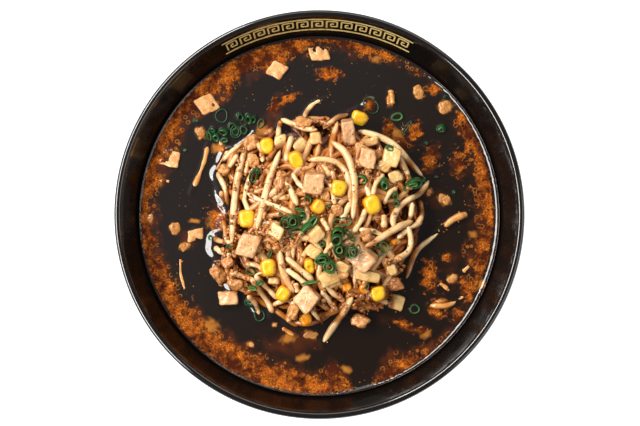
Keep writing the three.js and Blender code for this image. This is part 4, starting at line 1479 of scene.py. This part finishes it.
# The camera's height over the horizon, how far away it is, and the lens for that distance.
CAMERA_ELEVATION = math.radians(85.5)
CAMERA_AWAY = 1.0
CAMERA_LENS = 110.0
CAMERA_SENSOR = 36

# Rectangular soft lights: name, place, size, watts and colour. They all aim at the broth.
LIGHT_AIM = Vector((0, 0, 0.07))
KEY_HEADINGS = (128, 167, 206)
KEY_LIGHTS = [
    (f"key_{number + 1}",
     (0.9 * math.cos(math.radians(heading)), 0.9 * math.sin(math.radians(heading)), 0.95),
     (0.62, 0.34), 9.5, (1.0, 0.98, 0.95))
    for number, heading in enumerate(KEY_HEADINGS)
]
LIGHTS = KEY_LIGHTS + [
    ("far", (0.1, 1.15, 1.05), (1.4, 0.6), 5, (1.0, 0.97, 0.94)),
    ("fill", (1.05, -0.3, 0.95), (1.2, 0.6), 4, (1.0, 0.96, 0.92)),
]
SKY_STRENGTH = 0.12
FLOOR_HALF = 3.0


def aimed(thing, place, aim):
    """Puts a light or the camera in the scene at a place, looking at its aim."""
    thing.location = place
    thing.rotation_euler = (aim - thing.location).to_track_quat("-Z", "Y").to_euler()
    bpy.context.scene.collection.objects.link(thing)


def make_camera():
    """A long lens almost straight above, leaning a little to the front, aimed at the rim."""
    aim = Vector((0.35 * MM, -0.2 * MM, BOWL_HIGH.z))
    data = bpy.data.cameras.new("camera")
    data.sensor_width = CAMERA_SENSOR
    data.lens = CAMERA_LENS
    camera = bpy.data.objects.new("camera", data)
    back = Vector((0, -math.cos(CAMERA_ELEVATION), math.sin(CAMERA_ELEVATION)))
    aimed(camera, aim + back * CAMERA_AWAY, aim)
    bpy.context.scene.camera = camera


def make_stage():
    """A pale floor, a broad soft light from the left in three parts, weaker ones from the back
    and the right, and a dim sky."""
    data = bpy.data.meshes.new("floor")
    corners = [(x * FLOOR_HALF, y * FLOOR_HALF, 0) for x, y in ((-1, -1), (1, -1), (1, 1), (-1, 1))]
    data.from_pydata(corners, [], [(0, 1, 2, 3)])
    floor = bpy.data.objects.new("floor", data)
    bpy.context.scene.collection.objects.link(floor)
    pale = Finish(
        "pale_floor", Base_Color=(0.9, 0.9, 0.9, 1), Roughness=0.9,
        Emission_Strength=1.0, Emission_Color=(1, 1, 1, 1),
    )
    data.materials.append(pale.material)
    for name, place, size, watts, colour in LIGHTS:
        data = bpy.data.lights.new(name, "AREA")
        data.shape = "RECTANGLE"
        data.size, data.size_y = size
        data.energy = watts
        data.color = colour
        aimed(bpy.data.objects.new(name, data), place, LIGHT_AIM)
    world = bpy.data.worlds.new("soft_sky")
    world.use_nodes = True
    sky = world.node_tree.nodes["Background"].inputs
    sky["Color"].default_value = (1, 1, 1, 1)
    sky["Strength"].default_value = SKY_STRENGTH
    bpy.context.scene.world = world
    bpy.context.scene.view_settings.view_transform = "Standard"


# ------------------------------------------------------------------ the bowl of ramen

make_camera()
make_stage()
make_bowl()
make_fret()
pile = Pile(PILE_CELL, PILE_HALF)
make_food(pile)
make_broth(pile)
